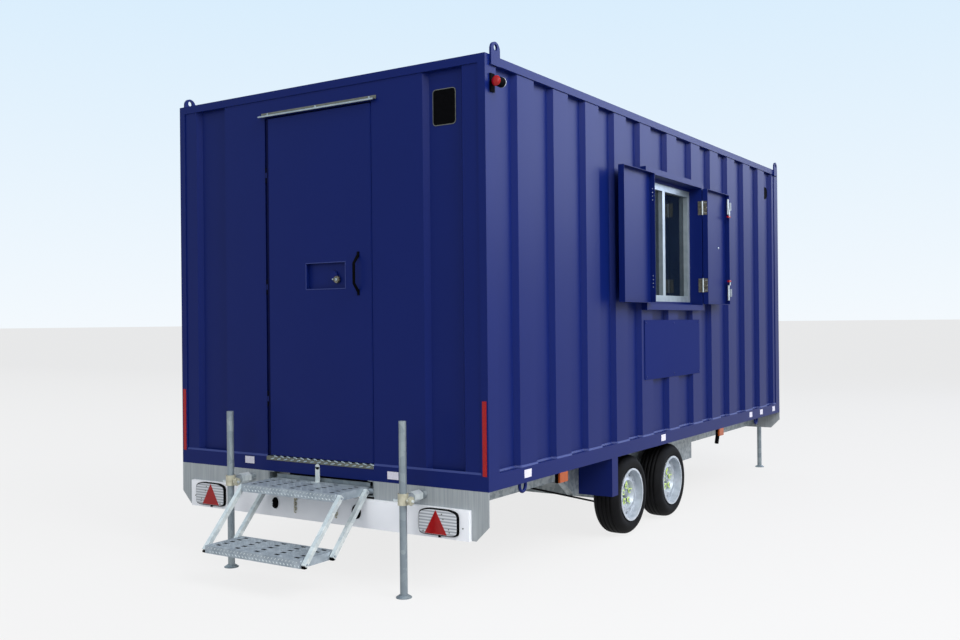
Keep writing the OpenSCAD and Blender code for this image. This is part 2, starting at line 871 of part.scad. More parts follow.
// Outline lamp on its base, red to the rear and white to the front
module outline_lamp() {
    lamp_l = 1.4 * lamp_base_w;
    color(black) at_datum()
        translate([half_w, (post_d + lamp_base_w / 2) / 2, top_z - lamp_drop]) {
            block([0, -lamp_base_w / 2, -lamp_base_h / 2], [lamp_base_t, lamp_base_w / 2, lamp_base_h / 2]);
            translate([lamp_reach - lamp_r, lamp_l / 2, 0])
                rotate([90, 0, 0]) cylinder(h = lamp_l, r = lamp_r);
            block([lamp_base_t - weld, -lamp_base_w / 4, -lamp_r / 2],
                [lamp_reach - lamp_r, lamp_base_w / 4, lamp_r / 2]);
        }
}

// Amber side lamps hung under the floor rails
module side_markers() {
    color(amber) at_datum()
        both_sides()
            for (y = [marker_rear, body_l - marker_front])
                block([half_w - marker_d, y, ride_h - marker_h], [half_w, y + marker_l, ride_h]);
}

// Lashing rings under the floor rails
module lashing_rings() {
    color(blue) at_datum()
        both_sides()
            for (y = [ring_y, body_l - ring_front])
                translate([half_w - 2 * ring_rod_r, y, ride_h - ring_leg])
                    rotate([90, 0, 90]) {
                        intersection() {
                            rotate_extrude()
                                translate([ring_r - ring_rod_r, 0]) circle(r = ring_rod_r);
                            translate([-ring_r, -ring_r, -ring_rod_r])
                                cube([2 * ring_r, ring_r, 2 * ring_rod_r]);
                        }
                        for (side = [-1, 1])
                            translate([side * (ring_r - ring_rod_r), 0, 0])
                                rotate([-90, 0, 0]) cylinder(h = ring_leg, r = ring_rod_r);
                    }
}

// Outline of an end apron, with its lower corners cut off
module apron_outline(depth) {
    polygon([[-half_w, 0],
        [half_w, 0],
        [half_w, apron_cut - depth],
        [half_w - apron_cut, -depth],
        [apron_cut - half_w, -depth],
        [-half_w, apron_cut - depth]]);
}

// Aprons across both ends, the rear one notched for the step
module end_aprons() {
    color(galvanised) at_datum() {
        translate([0, apron_t, ride_h])
            rotate([90, 0, 0])
                linear_extrude(apron_t)
                    difference() {
                        apron_outline(apron_h);
                        translate([-step_notch_w / 2, board_h - apron_h])
                            square([step_notch_w, apron_h - board_h + weld]);
                    }
        translate([0, body_l, ride_h])
            rotate([90, 0, 0]) linear_extrude(apron_t) apron_outline(front_apron_h);
    }
}

// A-frame drawbar: two tubes that meet at a plain coupling head
module drawbar() {
    head_l = 5 * cup_r;
    head_w = 2 * drawbar_t;
    head_y = body_l + drawbar_l - head_l;
    z0 = ride_h - drawbar_h - drawbar_t / 2;
    color(galvanised) at_datum() {
        both_sides()
            translate([0, 0, z0])
                linear_extrude(drawbar_h)
                    polygon([[drawbar_spread, body_l],
                        [drawbar_spread + drawbar_t, body_l],
                        [drawbar_t + seam, head_y - seam],
                        [seam, head_y - seam]]);
        block([-head_w / 2, head_y, z0], [head_w / 2, body_l + drawbar_l - cup_r, z0 + drawbar_h]);
        translate([0, body_l + drawbar_l, z0]) cylinder(h = drawbar_h, r = cup_r);
        block([-cup_r, body_l + drawbar_l - cup_r - weld, z0], [cup_r, body_l + drawbar_l, z0 + drawbar_h]);
    }
}

module light_board() {
    z0 = ride_h - apron_h;
    color(white) at_datum()
        block([-board_l / 2, -board_d, z0], [board_l / 2, 0, z0 + board_h]);
}

// Tail lamps with rounded corners
module tail_lamps() {
    z0 = ride_h - apron_h + (board_h - tail_h) / 2;
    color(red) at_datum()
        both_sides()
            translate([board_l / 2 - tail_inset - tail_w, -board_d, z0])
                rotate([90, 0, 0])
                    linear_extrude(tail_d) {
                        translate([tail_round, 0]) square([tail_w - 2 * tail_round, tail_h]);
                        translate([0, tail_round]) square([tail_w, tail_h - 2 * tail_round]);
                        for (x = [tail_round, tail_w - tail_round])
                            for (z = [tail_round, tail_h - tail_round])
                                translate([x, z]) circle(r = tail_round);
                    }
}

module chassis_rails() {
    color(galvanised) at_datum()
        both_sides()
            block([rail_in_x, apron_t, rail_z], [rail_out_x, body_l - apron_t, ride_h]);
}

// Crossmembers between the chassis rails
cross_y = [cross_inset, bogie_y - beam_back + cross_w, bogie_y, bogie_y + beam_front - 2 * cross_w,
    body_l - cross_inset];

module crossmembers() {
    color(galvanised) at_datum()
        for (y = cross_y)
            block([-rail_in_x, y, ride_h - 2 * rail_h / 3], [rail_in_x, y + cross_w, ride_h]);
}

// Axle beams under the chassis rails, sloped at the rear end
module axle_beams() {
    color(galvanised) at_datum()
        both_sides()
            translate([rail_in_x, 0, 0])
                rotate([90, 0, 90])
                    linear_extrude(rail_w)
                        polygon([[bogie_y - beam_back, rail_z],
                            [bogie_y - beam_back + beam_slope, beam_z],
                            [bogie_y + beam_front, beam_z],
                            [bogie_y + beam_front, rail_z]]);
}

// Axle tubes across the beams, with the stub axles that the hubs run on
module axles() {
    color(galvanised) at_datum()
        for (y = axle_y) {
            block([-rail_out_x, y - axle_box / 2, tyre_r - axle_box / 2],
                [rail_out_x, y + axle_box / 2, tyre_r + axle_box / 2]);
            translate([-hub_out_x, y, tyre_r])
                rotate([0, 90, 0]) cylinder(h = 2 * hub_out_x, r = stub_r);
        }
}

// Tyre turned about X: rounded shoulders, flat tread with four grooves
module tyre() {
    shoulder = 28;
    groove_w = 9;
    groove_d = 7;
    bulge = 6;
    half = tyre_w / 2;
    tread_half = half - shoulder;
    rotate([0, 90, 0])
        rotate_extrude()
            difference() {
                union() {
                    polygon([[bead_r, bead_in - half],
                        [bead_r + rim_lip, bead_in - half],
                        [(bead_r + tyre_r) / 2, -half],
                        [tyre_r - shoulder, -half + bulge],
                        [tyre_r - shoulder, half - bulge],
                        [(bead_r + tyre_r) / 2, half],
                        [bead_r + rim_lip, half - bead_in],
                        [bead_r, half - bead_in]]);
                    translate([tyre_r - shoulder - weld, -tread_half]) square([shoulder + weld, 2 * tread_half]);
                    for (s = [-1, 1])
                        translate([tyre_r - shoulder, s * tread_half])
                            scale([1, (shoulder - bulge) / shoulder]) circle(r = shoulder);
                }
                for (k = [-1.5, -0.5, 0.5, 1.5])
                    translate([tyre_r - groove_d, k * tread_half / 2 - groove_w / 2])
                        square([groove_d + weld, groove_w]);
            }
}

// Pressed rim turned about X: barrel, outer lip, dished disc and hub bored for the stub axle
module rim() {
    half = tyre_w / 2 - bead_in;
    disc_x = 24;
    hub_r = 42;
    vents = 14;
    ring_in = 2 * hub_r;
    crown_w = 14;
    crown_h = 26;
    edge_w = 24;
    edge_h = 10;
    draft = 4;
    rotate([0, 90, 0])
        difference() {
            union() {
                rotate_extrude()
                    union() {
                        translate([bead_r - rim_t, -half]) square([rim_t, 2 * half]);
                        for (z = [-half - rim_t, half])
                            translate([bead_r - rim_t, z]) square([rim_lip, rim_t]);
                    }
                translate([0, 0, disc_x])
                    rotate_extrude()
                        polygon([[stub_r + pin_gap, 0],
                            [ring_in, 0],
                            [ring_in + crown_w, crown_h],
                            [bead_r - edge_w, edge_h],
                            [bead_r - rim_t + weld, edge_h],
                            [bead_r - rim_t + weld, edge_h + rim_t],
                            [bead_r - edge_w, edge_h + rim_t],
                            [ring_in + crown_w - draft, crown_h + rim_t],
                            [ring_in - draft, rim_t],
                            [stub_r + pin_gap, rim_t]]);
                translate([0, 0, hub_in_x - tyre_x])
                    difference() {
                        cylinder(h = disc_x - hub_in_x + tyre_x + weld, r = hub_r);
                        translate([0, 0, -weld])
                            cylinder(h = disc_x - hub_in_x + tyre_x + 3 * weld, r = stub_r + pin_gap);
                    }
            }
            for (i = [0 : vents - 1])
                rotate(i * 360 / vents)
                    translate([(ring_in + bead_r) / 2, 0, 0]) cylinder(h = tyre_w, r = vent_r);
        }
}

// Places a wheel drawn on the right side at one of the four hubs
module at_wheel(axle, side) {
    translate([0, axle_y[axle], tyre_r])
        mirror([side < 0 ? 1 : 0, 0, 0])
            translate([tyre_x, 0, 0]) children();
}

module tyre_rear_right() { color(rubber) at_datum() at_wheel(0, 1) tyre(); }
module tyre_front_right() { color(rubber) at_datum() at_wheel(1, 1) tyre(); }
module tyre_rear_left() { color(rubber) at_datum() at_wheel(0, -1) tyre(); }
module tyre_front_left() { color(rubber) at_datum() at_wheel(1, -1) tyre(); }
module rim_rear_right() { color(galvanised) at_datum() at_wheel(0, 1) rim(); }
module rim_front_right() { color(galvanised) at_datum() at_wheel(1, 1) rim(); }
module rim_rear_left() { color(galvanised) at_datum() at_wheel(0, -1) rim(); }
module rim_front_left() { color(galvanised) at_datum() at_wheel(1, -1) rim(); }

// Splash plates behind the rear wheels, folded forward at the body's side
module splash_plates() {
    plate_in_x = rail_out_x;
    plate_out_x = half_w - splash_t / 2;
    color(blue) at_datum()
        both_sides() {
            block([plate_in_x, splash_y, ride_h - splash_h], [plate_out_x, splash_y + splash_t, ride_h]);
            block([plate_out_x - splash_t, splash_y, ride_h - splash_h],
                [plate_out_x, splash_y + splash_flange, ride_h]);
        }
}

// Leg positions: x, y and the direction of the arm back to the apron
leg_spots = [[leg_right_x, leg_rear_y, 1], [-leg_left_x, leg_rear_y, 1],
    [leg_front_x, leg_front_y, -1], [-leg_front_x, leg_front_y, -1]];

// Clamp sleeves on arms that stand out from the aprons
module leg_brackets() {
    color(galvanised) at_datum()
        for (spot = leg_spots)
            translate([spot[0], spot[1], sleeve_z])
                difference() {
                    union() {
                        translate([0, 0, -sleeve_h / 2]) cylinder(h = sleeve_h, r = sleeve_r);
                        rotate([spot[2] > 0 ? -90 : 90, 0, 0]) cylinder(h = leg_out, r = arm_r);
                    }
                    translate([0, 0, -sleeve_h]) cylinder(h = 2 * sleeve_h, r = leg_r + leg_gap);
                }
}

// Prop leg: tube on a dished foot
module leg() {
    translate([0, 0, foot_h / 2]) cylinder(h = leg_l - foot_h / 2, r = leg_r);
    rotate_extrude()
        polygon([[0, 0],
            [foot_r, 0],
            [foot_r, foot_h / 4],
            [leg_r + foot_h / 4, foot_h],
            [0, foot_h]]);
}

module at_leg(i) {
    translate([leg_spots[i][0], leg_spots[i][1], 0]) children();
}

module leg_rear_right() { color(galvanised) at_datum() at_leg(0) leg(); }
module leg_rear_left() { color(galvanised) at_datum() at_leg(1) leg(); }
module leg_front_right() { color(galvanised) at_datum() at_leg(2) leg(); }
module leg_front_left() { color(galvanised) at_datum() at_leg(3) leg(); }

// Tread pan: top sheet with a skirt all round, and rows of drain slots staggered over its front part
module tread_pan(y0, y1, z1, slotted) {
    rows = 4;
    columns = floor((step_w - slot_l) / slot_pitch);
    row_pitch = slotted / (rows + 1);
    difference() {
        block([-step_w / 2, y0, z1 - tread_t], [step_w / 2, y1, z1]);
        block([tread_sheet - step_w / 2, y0 + tread_sheet, z1 - tread_t - weld],
            [step_w / 2 - tread_sheet, y1 - tread_sheet, z1 - tread_sheet]);
        for (row = [1 : rows])
            for (column = [0 : columns - 1])
                translate([(column - (columns - 1) / 2 + (row % 2 - 0.5) / 2) * slot_pitch, y0 + row * row_pitch, z1])
                    cube([slot_l, slot_w, 4 * tread_sheet], center = true);
    }
}

// Pins that stand out of a tread's skirt for the links
module pivot_pins(y, z) {
    both_sides()
        translate([step_w / 2 - 2 * tread_sheet, y, z])
            rotate([0, 90, 0]) cylinder(h = link_x - step_w / 2 + link_w + 3 * tread_sheet, r = pivot_r);
}

// Upper tread on rollers in its runners
module step_upper() {
    back_y = 2 * rail_t;
    roller_l = runner_in_x + runner_w - tread_sheet - seam - step_w / 2;
    color(galvanised) at_datum() {
        tread_pan(-upper_reach, back_y, upper_tread_z, upper_reach);
        pivot_pins(front_pivot_y, upper_pivot_z);
        pivot_pins(rear_pivot_y, upper_pivot_z);
        both_sides()
            for (y = [back_y / 5, back_y * 4 / 5])
                translate([step_w / 2 - weld, y, upper_pivot_z])
                    rotate([0, 90, 0]) cylinder(h = roller_l + weld, r = roller_r);
    }
}

// Channels under the floor that carry the step
module step_runners() {
    color(galvanised) at_datum()
        both_sides()
            translate([runner_in_x, runner_l, runner_z])
                rotate([90, 0, 0])
                    linear_extrude(runner_l)
                        difference() {
                            square([runner_w, ride_h - runner_z]);
                            translate([-weld, tread_sheet])
                                square([runner_w - tread_sheet + weld, ride_h - runner_z - 2 * tread_sheet]);
                        }
}

module step_lower() {
    color(galvanised) at_datum() {
        tread_pan(lower_front_y, lower_front_y + tread_d, lower_tread_z, tread_d);
        pivot_pins(front_pivot_y - tread_lead_l, upper_pivot_z - tread_drop);
        pivot_pins(rear_pivot_y - tread_lead_l, upper_pivot_z - tread_drop);
    }
}

// Square link bar between an upper and a lower pivot, bored at both ends
module step_link(y, lower_gap) {
    length = sqrt(pow(tread_lead_l, 2) + pow(tread_drop, 2));
    slope = atan2(tread_drop, tread_lead_l);
    both_sides()
        translate([link_x, y, upper_pivot_z])
            rotate([slope, 0, 0])
                difference() {
                    block([0, -length - link_w / 2, -link_w / 2], [link_w, link_w / 2, link_w / 2]);
                    translate([-weld, 0, 0])
                        rotate([0, 90, 0]) cylinder(h = link_w + 2 * weld, r = pivot_r + pin_gap);
                    translate([-weld, -length, 0])
                        rotate([0, 90, 0]) cylinder(h = link_w + 2 * weld, r = pivot_r + lower_gap);
                }
}

module step_front_links() { color(galvanised) at_datum() step_link(front_pivot_y, pin_gap); }
module step_rear_links() { color(galvanised) at_datum() step_link(rear_pivot_y, 4 * pin_gap); }

floor_deck();
bottom_rails();
corner_posts();
top_rails();
roof_panel();
left_wall();
front_wall();
right_wall_rear();
right_wall_front();
right_wall_over_window();
right_wall_under_window();
rear_wall_left();
rear_wall_right();
rear_wall_over_door();
door_leaf();
door_handle();
lock_box();
door_hinges();
door_trim();
window_frame();
window_glass();
window_surround();
rear_shutter();
front_shutter();
rear_shutter_fittings();
front_shutter_fittings();
shutter_hinges();
access_panel();
lifting_eyes();
outline_lamp();
side_markers();
lashing_rings();
end_aprons();
light_board();
tail_lamps();
drawbar();
chassis_rails();
crossmembers();
axle_beams();
axles();
splash_plates();
tyre_rear_right();
tyre_front_right();
tyre_rear_left();
tyre_front_left();
rim_rear_right();
rim_front_right();
rim_rear_left();
rim_front_left();
leg_brackets();
leg_rear_right();
leg_rear_left();
leg_front_right();
leg_front_left();
step_upper();
step_runners();
step_lower();
step_front_links();
step_rear_links();
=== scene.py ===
"""Finishes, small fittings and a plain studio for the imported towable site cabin."""

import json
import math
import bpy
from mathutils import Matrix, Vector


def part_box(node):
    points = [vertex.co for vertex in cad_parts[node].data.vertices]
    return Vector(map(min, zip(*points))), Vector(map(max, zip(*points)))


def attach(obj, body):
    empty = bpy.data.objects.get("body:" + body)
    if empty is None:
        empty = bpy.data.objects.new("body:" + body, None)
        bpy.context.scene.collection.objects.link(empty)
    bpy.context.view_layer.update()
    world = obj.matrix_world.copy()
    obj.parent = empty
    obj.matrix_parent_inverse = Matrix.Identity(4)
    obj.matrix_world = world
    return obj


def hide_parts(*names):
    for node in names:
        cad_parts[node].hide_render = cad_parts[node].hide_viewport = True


bl_info = {
    "name": "Towable site cabin",
    "version": (1, 0, 0),
    "blender": (4, 5, 0),
    "location": "3D View > Sidebar > Site cabin",
    "description": "Dresses the packed cabin with its finishes and small fittings",
    "category": "Object",
}

import bmesh
import bpy
from bpy.props import FloatProperty, FloatVectorProperty, IntProperty, PointerProperty
from mathutils import Matrix, Vector

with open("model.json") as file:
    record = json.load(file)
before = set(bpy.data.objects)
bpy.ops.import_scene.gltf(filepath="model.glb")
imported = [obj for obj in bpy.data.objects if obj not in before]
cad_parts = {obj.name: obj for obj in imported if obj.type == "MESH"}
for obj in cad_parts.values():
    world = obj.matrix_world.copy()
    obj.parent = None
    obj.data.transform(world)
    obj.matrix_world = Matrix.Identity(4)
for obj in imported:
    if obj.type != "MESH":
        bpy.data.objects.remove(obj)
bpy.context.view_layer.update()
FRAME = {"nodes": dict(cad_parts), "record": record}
NODES = FRAME["nodes"]
MM = 0.001

WHEELS = ("rear_right", "front_right", "rear_left", "front_left")
LEGS = ("rear_right", "rear_left", "front_right", "front_left")


def corners(node):
    """Low and high corner of a frame piece."""
    return [Vector(c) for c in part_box(node)]


# Planes of the steel body, read from the frame
POSTS_LOW, POSTS_HIGH = corners("corner_posts")
MIDDLE_X = (POSTS_LOW.x + POSTS_HIGH.x) / 2
HALF_W = (POSTS_HIGH.x - POSTS_LOW.x) / 2
DOOR_END = POSTS_LOW.y
BODY_L = POSTS_HIGH.y - POSTS_LOW.y
UNDERSIDE = POSTS_LOW.z
ROOF_LINE = POSTS_HIGH.z

# Middle of the shutters' hinge pins
PIN_X = corners("front_shutter_fittings")[0].x + 6 * MM


def at(across, along, up):
    """Frame point from a place across the middle, along from the door end and up from the ground."""
    return Vector((MIDDLE_X + across, DOOR_END + along, up))


def at_mm(across, along, up):
    """The same point, from millimetres."""
    return at(across * MM, along * MM, up * MM)


def mm(across, along, up):
    """Shift from millimetres."""
    return Vector((across * MM, along * MM, up * MM))


def linear(hex_colour):
    """Linear RGBA of an sRGB hex colour."""
    parts = [int(hex_colour[i:i + 2], 16) / 255 for i in (1, 3, 5)]
    return tuple(c / 12.92 if c <= 0.04045 else ((c + 0.055) / 1.055) ** 2.4 for c in parts) + (1.0,)


def add_node(tree, kind, settings=None, stops=(), **sockets):
    """Adds a node; a socket takes a value or the socket that feeds it, a ramp its places and colours."""
    node = tree.nodes.new(kind)
    for name, value in (settings or {}).items():
        setattr(node, name, value)
    for i, (place, colour) in enumerate(stops):
        node.color_ramp.elements[i].position = place
        node.color_ramp.elements[i].color = colour
    for name, value in sockets.items():
        by_number = name[0] == "i" and name[1:].isdigit()
        socket = node.inputs[int(name[1:]) if by_number else name.replace("_", " ")]
        if isinstance(value, bpy.types.NodeSocket):
            tree.links.new(value, socket)
        else:
            socket.default_value = value
    return node


def new_material(name, **sockets):
    """Material with one Principled shader and its plain socket values."""
    material = bpy.data.materials.new(name)
    material.use_nodes = True
    tree = material.node_tree
    shader = tree.nodes["Principled BSDF"]
    for socket, value in sockets.items():
        shader.inputs[socket.replace("_", " ")].default_value = value
    material.diffuse_color = shader.inputs["Base Color"].default_value
    return tree, shader


def per_metre(size_mm):
    """Texture scale that repeats a pattern every size_mm."""
    return 1 / (size_mm * MM)


def patch_stops(dark, light):
    """Stops of a ramp that gives clear patches of two shades with soft edges."""
    return (0.3, linear(dark)), (0.7, linear(light))


def mottle(tree, shader, dark, light, size_mm, kind="ShaderNodeTexNoise", spread="Fac"):
    """Colours the shader between two shades in patches of a real size."""
    place = add_node(tree, "ShaderNodeTexCoord")
    patches = add_node(tree, kind, Vector=place.outputs["Object"], Scale=per_metre(size_mm))
    ramp = add_node(tree, "ShaderNodeValToRGB", stops=patch_stops(dark, light), Fac=patches.outputs[spread])
    tree.links.new(ramp.outputs["Color"], shader.inputs["Base Color"])


def blue_enamel(name, colour, roughness, gloss):
    """Stoved enamel on pressed sheet: deep blue, with a soft gloss and faint waves in the sheet."""
    dust_mm, dust_shade = 420, 0.9
    wave_mm, wave_depth = 260, 0.6 * MM
    tree, shader = new_material(name, Roughness=roughness, IOR=1.48, Specular_IOR_Level=gloss)
    place = add_node(tree, "ShaderNodeTexCoord").outputs["Object"]
    dust = add_node(tree, "ShaderNodeTexNoise", Vector=place, Scale=per_metre(dust_mm), Detail=4.0)
    dusty = tuple(c * dust_shade for c in colour)
    shade = add_node(tree, "ShaderNodeValToRGB", stops=((0.0, dusty + (1.0,)), (1.0, tuple(colour) + (1.0,))),
                     Fac=dust.outputs["Fac"])
    tree.links.new(shade.outputs["Color"], shader.inputs["Base Color"])
    hills = add_node(tree, "ShaderNodeTexNoise", Vector=place, Scale=per_metre(wave_mm), Detail=2.0)
    bump = add_node(tree, "ShaderNodeBump", Height=hills.outputs["Fac"], Distance=wave_depth, Strength=1.0)
    tree.links.new(bump.outputs["Normal"], shader.inputs["Normal"])


def galvanised_steel(name, dark, light, size_mm):
    """Hot-dip galvanised steel: grey metal with a spangle of crystals, drawn coarse so that it shows."""
    tree, shader = new_material(name, Metallic=0.45, Roughness=0.44)
    mottle(tree, shader, dark, light, size_mm, "ShaderNodeTexVoronoi", "Color")


def drawn_galvanised(name, dark, light, streak_mm, length_mm):
    """Galvanised sheet from the rolls: dull grey with upright streaks, drawn coarse so that they show."""
    tree, shader = new_material(name, Metallic=0.3, Roughness=0.52)
    place = add_node(tree, "ShaderNodeTexCoord")
    stretch = add_node(tree, "ShaderNodeMapping", Vector=place.outputs["Object"],
                       Scale=(per_metre(streak_mm), per_metre(streak_mm), per_metre(length_mm)))
    streaks = add_node(tree, "ShaderNodeTexNoise", Vector=stretch.outputs["Vector"], Scale=1.0, Detail=4.0)
    ramp = add_node(tree, "ShaderNodeValToRGB", stops=patch_stops(dark, light), Fac=streaks.outputs["Fac"])
    tree.links.new(ramp.outputs["Color"], shader.inputs["Base Color"])


def ribbed_lens(name, dark, light, rib_mm):
    """Clear acrylic lens over a grey bowl: pale level ribs moulded inside, drawn coarse so that they show."""
    wave_period = math.tau / 20
    tree, shader = new_material(name, Roughness=0.2, IOR=1.49)
    place = add_node(tree, "ShaderNodeTexCoord")
    ribs = add_node(tree, "ShaderNodeTexWave", {"bands_direction": "Z"}, Vector=place.outputs["Object"],
                    Scale=per_metre(rib_mm) * wave_period)
    shade = add_node(tree, "ShaderNodeValToRGB", stops=((0.0, linear(dark)), (1.0, linear(light))),
                     Fac=ribs.outputs["Fac"])
    tree.links.new(shade.outputs["Color"], shader.inputs["Base Color"])


# Name, dark and light shade, size of the patches in millimetres, shader values
MOTTLED_FINISHES = (
    # Silver wheel lacquer on pressed steel: pale grey with a fine metal flake
    ("silver_wheel_lacquer", "#A6AEB6", "#C0C6CD", 40, {"Metallic": 0.3, "Roughness": 0.4}),
    # Galvanised tread sheet: duller than the tubes, rubbed bright by feet
    ("galvanised_tread_sheet", "#8A959E", "#A6B0B8", 45, {"Metallic": 0.3, "Roughness": 0.45}),
    # Anodised aluminium section: pale satin metal, a little uneven
    ("anodised_aluminium", "#94A1A8", "#A6B2B8", 60, {"Metallic": 0.5, "Roughness": 0.36}),
    # Mill-finish aluminium left outdoors: dull olive grey; on the drip rail's faces that don't face up it is
    # painted shade
    ("weathered_aluminium_and_shade", "#5E5F57", "#6E6F66", 25, {"Metallic": 0.6, "Roughness": 0.5}),
    # Yellow-passivated zinc plate: pale sand-coloured metal
    ("yellow_zinc_plate", "#A8A48F", "#C4C0AC", 30, {"Metallic": 0.4, "Roughness": 0.45}),
    # Bare rolled steel gone dull: brownish grey metal
    ("dull_rolled_steel", "#4E4B41", "#7E7A6E", 14, {"Metallic": 0.6, "Roughness": 0.45}),
    # Bright zinc plate: pale blue-white metal
    ("bright_zinc_plate", "#B4BEC2", "#CBD4D6", 12, {"Metallic": 0.6, "Roughness": 0.34}),
    # White stoved enamel: bright and glossy, with a little road film
    ("white_enamel", "#ECEEF2", "#F3F4F7", 180, {"Roughness": 0.28, "IOR": 1.5}),
    # Blank vinyl label: pale lilac white with a low gloss
    ("blank_vinyl_label", "#CAC7D2", "#D6D3DE", 8, {"Roughness": 0.4, "IOR": 1.5}),
    # Vulcanised rubber: near black and dull, with a little road dust; behind the step the same finish is
    # painted shade
    ("rubber_and_shade", "#0B0B0C", "#131315", 90,
     {"Roughness": 0.7, "IOR": 1.5, "Specular_IOR_Level": 0.1}),
    # Blue-black strip of painted shade down the door's hinge edge: near black with a blue cast
    ("blue_black_painted_shade", "#03072A", "#060B35", 60,
     {"Roughness": 0.6, "IOR": 1.5, "Specular_IOR_Level": 0.05}),
    # Moulded nylon: black with hardly any sheen; on the door hinges and the sheet under the tread slots it is
    # painted shade
    ("black_nylon_and_shade", "#070708", "#0A0A0C", 20,
     {"Roughness": 0.6, "IOR": 1.53, "Specular_IOR_Level": 0.01}),
    # Red acrylic lens: clear strong red with a wet gloss
    ("red_acrylic_lens", "#90060A", "#9A080C", 30,
     {"Roughness": 0.2, "IOR": 1.49, "Specular_IOR_Level": 0.3}),
    # Amber acrylic lens: strong orange with a wet gloss
    ("amber_acrylic_lens", "#94400F", "#A34A16", 30,
     {"Roughness": 0.2, "IOR": 1.49, "Specular_IOR_Level": 0.3}),
    # Lime nylon pointer: pale yellow-green moulding
    ("lime_nylon_pointer", "#C2DC78", "#CDE685", 20,
     {"Roughness": 0.35, "IOR": 1.53, "Specular_IOR_Level": 0.3}),
    # Float glass in front of a dark room: it shows mostly what it mirrors
    ("tinted_float_glass", "#0E171F", "#121D26", 400, {"Roughness": 0.03, "IOR": 1.52, "Alpha": 0.8}),
    # Phenolic-faced birch ply: brown and smooth with a faint grain
    ("phenolic_birch_ply", "#4A3D31", "#6A5A49", 120, {"Roughness": 0.5, "IOR": 1.5}),
    # Melamine laminate lining: off-white and smooth
    ("melamine_lining", "#D5D4CE", "#DCDBD5", 300, {"Roughness": 0.4, "IOR": 1.5}),
)


def mottled_finish(name, dark, light, size_mm, values):
    """Finish whose colour drifts between two shades in patches of a real size."""
    tree, shader = new_material(name, **values)
    mottle(tree, shader, dark, light, size_mm)


def background_share(tree):
    """One for the rays that show the background: the camera's own, and those in mirrors and glass."""
    ray = add_node(tree, "ShaderNodeLightPath")
    seen = add_node(tree, "ShaderNodeMath", {"operation": "MAXIMUM"}, i0=ray.outputs["Is Camera Ray"],
                    i1=ray.outputs["Is Glossy Ray"])
    either = add_node(tree, "ShaderNodeMath", {"operation": "MAXIMUM"}, i0=seen.outputs[0],
                      i1=ray.outputs["Is Transmission Ray"])
    return either.outputs[0]


def pale_floor(name):
    """Painted studio floor: pale and matt; most of what is seen is its own light, so shadows stay soft; that
    light fades from near to far, which is painted shade.
    """
    near_y, far_y, own_light = -4.0, 14.0, 0.84
    tree, shader = new_material(name, Base_Color=linear("#BDBDBD"), Roughness=0.95)
    place = add_node(tree, "ShaderNodeTexCoord")
    parts = add_node(tree, "ShaderNodeSeparateXYZ", Vector=place.outputs["Object"])
    # Painted shade: the floor's own light grows darker from near to far
    near = add_node(tree, "ShaderNodeMapRange", From_Min=near_y, From_Max=far_y, Value=parts.outputs["Y"])
    shade = add_node(tree, "ShaderNodeValToRGB", stops=((0.0, linear("#FBFBFB")), (1.0, linear("#F1F1F1"))),
                     Fac=near.outputs[0])
    glow = add_node(tree, "ShaderNodeEmission", Color=shade.outputs["Color"], Strength=1.0)
    share = add_node(tree, "ShaderNodeMath", {"operation": "MULTIPLY"}, i0=background_share(tree),
                     i1=own_light)
    mix = add_node(tree, "ShaderNodeMixShader", i0=share.outputs[0], i1=shader.outputs[0],
                   i2=glow.outputs[0])
    tree.links.new(mix.outputs[0], tree.nodes["Material Output"].inputs["Surface"])
    return finish_named(name)


def studio_light(world):
    """Soft light that is strong from above and the window side, behind a pale sky-blue backdrop."""
    strong_from, turned_away, turned_to = Vector((0.5, 0.5, 0.7)), -0.9, 0.9
    faint, strong, sky_top = 0.16, 1.15, 0.32
    world.use_nodes = True
    tree = world.node_tree
    tree.nodes.clear()
    place = add_node(tree, "ShaderNodeTexCoord").outputs["Generated"]
    side = add_node(tree, "ShaderNodeVectorMath", {"operation": "DOT_PRODUCT"}, i0=place, i1=strong_from)
    level = add_node(tree, "ShaderNodeMapRange", Value=side.outputs["Value"], From_Min=turned_away,
                     From_Max=turned_to, To_Min=faint, To_Max=strong)
    lighting = add_node(tree, "ShaderNodeBackground", Color=linear("#E9EEF6"), Strength=level.outputs[0])
    parts = add_node(tree, "ShaderNodeSeparateXYZ", Vector=place)
    sky = add_node(tree, "ShaderNodeValToRGB", stops=((0.0, linear("#F3F9FE")), (sky_top, linear("#D8EDFD"))),
                   Fac=parts.outputs["Z"])
    backdrop = add_node(tree, "ShaderNodeBackground", Color=sky.outputs["Color"], Strength=1.0)
    mix = add_node(tree, "ShaderNodeMixShader", i0=background_share(tree), i1=lighting.outputs[0],
                   i2=backdrop.outputs[0])
    add_node(tree, "ShaderNodeOutputWorld", Surface=mix.outputs[0])


def finish_named(name):
    """Material of one finish."""
    return bpy.data.materials[name]


def shapes(count):
    """Empty shapes to build pieces in."""
    return [bmesh.new() for _ in range(count)]


def new_object(name, shape, finish, body, smooth=False, bevel=0.0):
    """Object from a shape, in one finish and on one body, with its edges eased."""
    bmesh.ops.recalc_face_normals(shape, faces=shape.faces)
    if bevel:
        bmesh.ops.bevel(shape, geom=list(shape.edges), offset=bevel, segments=2, affect="EDGES",
                        clamp_overlap=True)
    mesh = bpy.data.meshes.new(name)
    shape.to_mesh(mesh)
    shape.free()
    for face in mesh.polygons:
        face.use_smooth = smooth
    piece = bpy.data.objects.new(name, mesh)
    bpy.context.scene.collection.objects.link(piece)
    mesh.materials.append(finish_named(finish))
    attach(piece, body)
    return piece


def box_into(shape, low, high):
    """Adds a box between two corners."""
    middle = (Vector(low) + Vector(high)) / 2
    size = Vector(high) - Vector(low)
    place = Matrix.Translation(middle) @ Matrix.Diagonal(size.to_4d())
    bmesh.ops.create_cube(shape, size=1, matrix=place)


